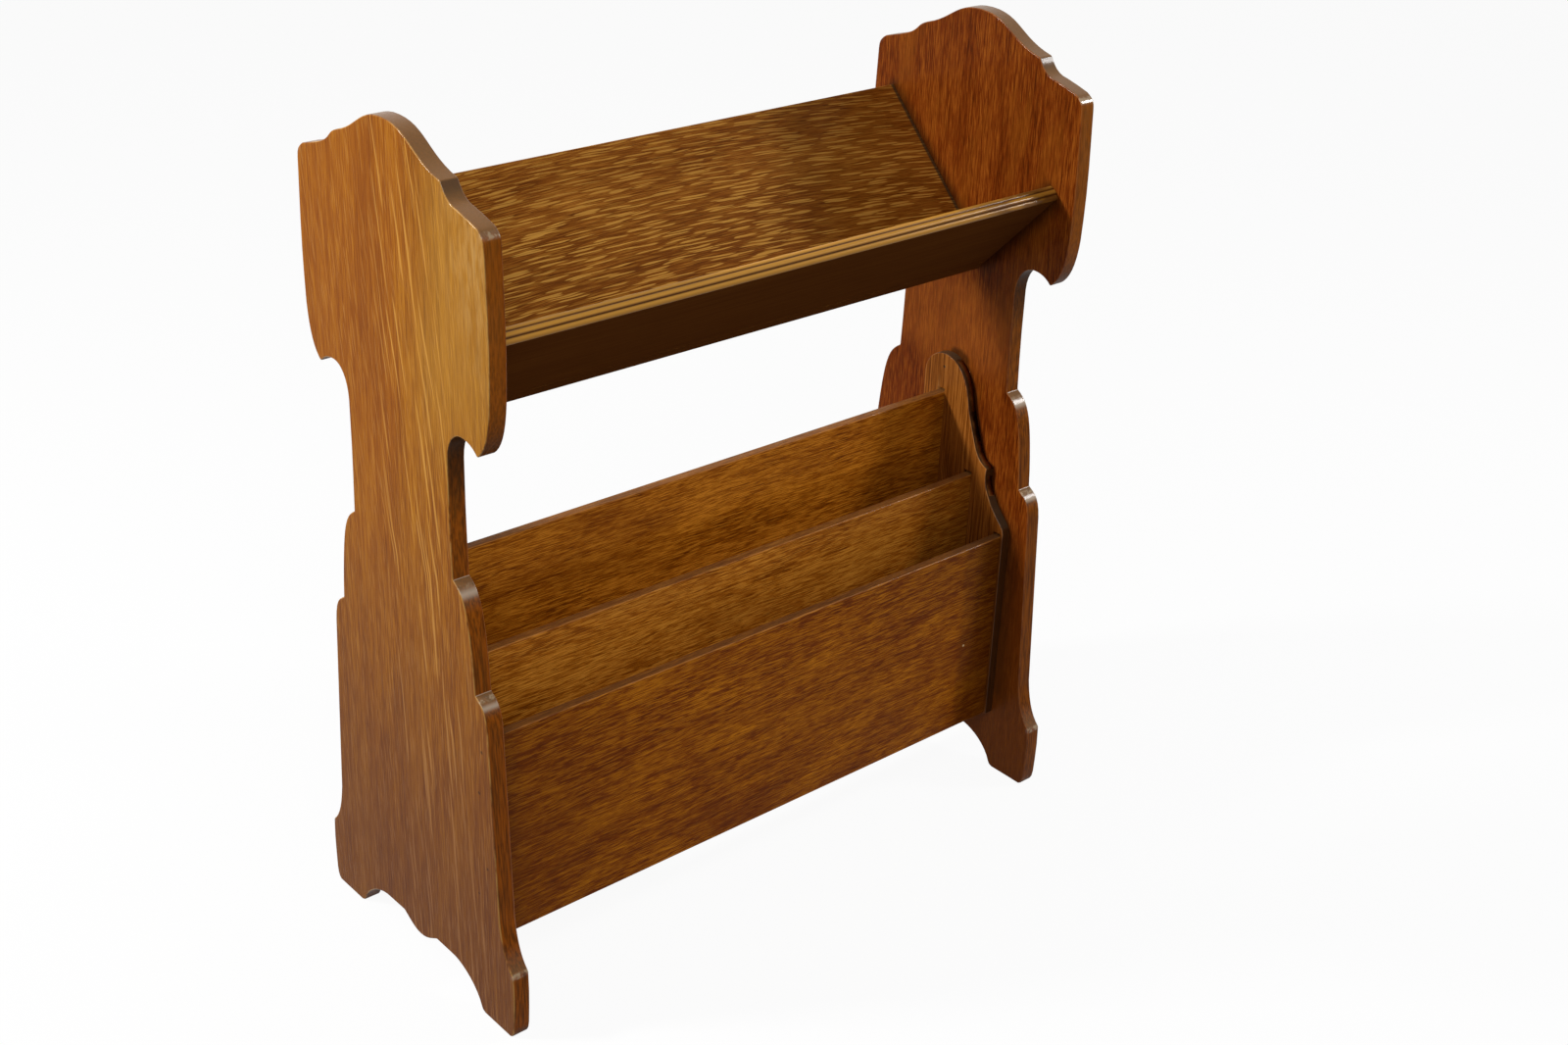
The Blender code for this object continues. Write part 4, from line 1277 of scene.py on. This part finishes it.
def groove(piece, node, side, face, open_below, headroom=HEADROOM):
    """Cuts the groove that a packed board sits in."""
    low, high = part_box(node)
    floor_x = face + side * GROOVE_DEPTH
    mouth_x = face - side * OVERCUT
    bottom = low.z - (OVERCUT if open_below else FIT_GAP)
    corner_a = (min(floor_x, mouth_x), low.y - FIT_GAP, bottom)
    corner_b = (max(floor_x, mouth_x), high.y + FIT_GAP, high.z + headroom)
    cut_away(piece, block("groove", corner_a, corner_b))


NIB_TIP = (-0.0662, 0.3300)
NIB_LINE = (  # the sawn front edge, from the waist of the ogee down to the straight front
    (-0.0460, 0.3540),
    (-0.0492, 0.3440),
    (-0.0546, 0.3361),
    (-0.0600, 0.3320),
    NIB_TIP,
    (-0.0648, 0.3262),
    (-0.0650, 0.3180),
    (-0.0662, 0.3110),
    (-0.0698, 0.3039),
    (-0.0762, 0.2933),
    (-0.0845, 0.2840),
    (-0.0905, 0.2785),
    (-0.0931, 0.2747),
)


def along_line(line, share):
    """The point at a share of a broken line's length."""
    steps = [math.dist(a, b) for a, b in zip(line, line[1:])]
    left = share * sum(steps)
    for (first, second), step in zip(zip(line, line[1:]), steps):
        if left <= step:
            break
        left -= step
    share = min(left / step, 1.0)
    return [a + (b - a) * share for a, b in zip(first, second)]


def carve_nib(piece):
    """Moves the front of a cheek's outline onto the line with the small nib in it."""
    top, foot = NIB_LINE[0], NIB_LINE[-1]
    reach = [b - a for a, b in zip(top, foot)]
    length = math.hypot(*reach)

    def share_of(vertex):
        y, z = vertex.co.y - top[0], vertex.co.z - top[1]
        down = (y * reach[0] + z * reach[1]) / length**2
        aside = (y * reach[1] - z * reach[0]) / length
        return down if -0.003 < down < 1.003 and abs(aside) < 0.03 else None

    def off_tip(vertex):
        inside = share_of(vertex) is not None and 0.02 < share_of(vertex) < 0.98
        return inside and math.dist((vertex.co.y, vertex.co.z), NIB_TIP) > 0.0012

    with editing(piece):
        pick_in(piece, "edges", lambda edge: all(share_of(v) is not None for v in edge.verts))
        bpy.ops.mesh.subdivide(number_cuts=3)
        work = bmesh.from_edit_mesh(piece.data)
        front = [(v, share_of(v)) for v in work.verts if share_of(v) is not None]
        for vertex, share in front:
            vertex.co.y, vertex.co.z = along_line(NIB_LINE, min(max(share, 0.0), 1.0))
        bmesh.update_edit_mesh(piece.data)
        pick_in(piece, "verts", off_tip)
        bpy.ops.mesh.vertices_smooth(factor=0.5, repeat=6)
    print(f"{piece.name}: {len(front)} points of the edge moved onto the line with the nib")


for side_name, side in SIDES:
    node = f"{side_name}_grooved_cheek"
    face, back = faces_of(node, side)
    slice_at = face + side * CHEEK_SLICE
    piece = section_of(node, f"{side_name}_cheek", slice_at)
    carve_nib(piece)
    draw_out(piece, slice_at, face, back)
    round_rim(piece, face, CHEEK_ARRIS)
    groove(piece, "rack_front_panel", side, face, True)
    groove(piece, "rack_middle_panel", side, face, False)
    groove(piece, "rack_rear_panel", side, face, True)
    groove(piece, "rack_base_board", side, face, False, FIT_GAP)
    for number in NUMBERS:
        bore(piece, f"{side_name}_cheek_pin_{number}", PIN_FACETS, PIN_PAST)
    smooth(piece, 50.0)
    hand_over(piece, rack_finish[f"{side_name}_cheek"], "rack_oak", node)

# %% [markdown]
# ## Pins and dowels
# A panel pin has a small flat head, punched just under the surface. Each is drawn out from its
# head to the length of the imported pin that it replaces. The dowels are hidden in the joints, so
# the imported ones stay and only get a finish.

# %% Pins
PIN_HEAD_RADIUS = 0.0011
PIN_SHANK_RADIUS = 0.0007
PIN_HEAD_DEPTH = 0.0012
PIN_POINT = 4 * PIN_SHANK_RADIUS


def make_pin(node, name, axis, towards):
    """A pin along one axis. towards is +1 if its head is at the low end."""
    low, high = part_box(node)
    length = (high - low)[axis]
    start_clean()
    bpy.ops.mesh.primitive_cylinder_add(vertices=20, radius=PIN_HEAD_RADIUS, depth=PIN_HEAD_DEPTH)
    piece = named(name)
    with editing(piece):
        pick_in(piece, "edges", lambda edge: all(v.co.z < 0 for v in edge.verts))
        bpy.ops.mesh.bevel(offset=0.00015, segments=2, clamp_overlap=True)
        pick_in(piece, "faces", lambda face: face.normal.z > 0.9)
        share = PIN_SHANK_RADIUS / PIN_HEAD_RADIUS
        bpy.ops.transform.resize(value=(share, share, 1.0))
        extrude(0.0, 0.0, length - PIN_HEAD_DEPTH - PIN_POINT)
        extrude(0.0, 0.0, PIN_POINT)
        bpy.ops.transform.resize(value=(0.1, 0.1, 1.0))
    along = Vector([towards if i == axis else 0.0 for i in range(3)])
    head = (low + high) / 2 - along * (length / 2 - PIN_HEAD_DEPTH / 2)
    spin = Vector((0.0, 0.0, 1.0)).rotation_difference(along).to_matrix().to_4x4()
    piece.matrix_world = Matrix.Translation(head) @ spin
    settle()
    smooth(piece, 35.0)
    hand_over(piece, waxed_steel, "steel", node)


for number in NUMBERS:
    for side_name, side in SIDES:
        make_pin(f"{side_name}_cheek_pin_{number}", f"{side_name}_pin_{number}", 0, side)
    make_pin(f"rear_panel_pin_{number}", f"rear_pin_{number}", 1, -1)
    make_pin(f"base_board_pin_{number}", f"base_pin_{number}", 2, 1)

# %% Dowels
dowels = [node for name, node in frame["nodes"].items() if "dowel" in name]
for node in dowels:
    node.data.materials.clear()
    node.data.materials.append(beech)
print("dowels:", len(dowels))
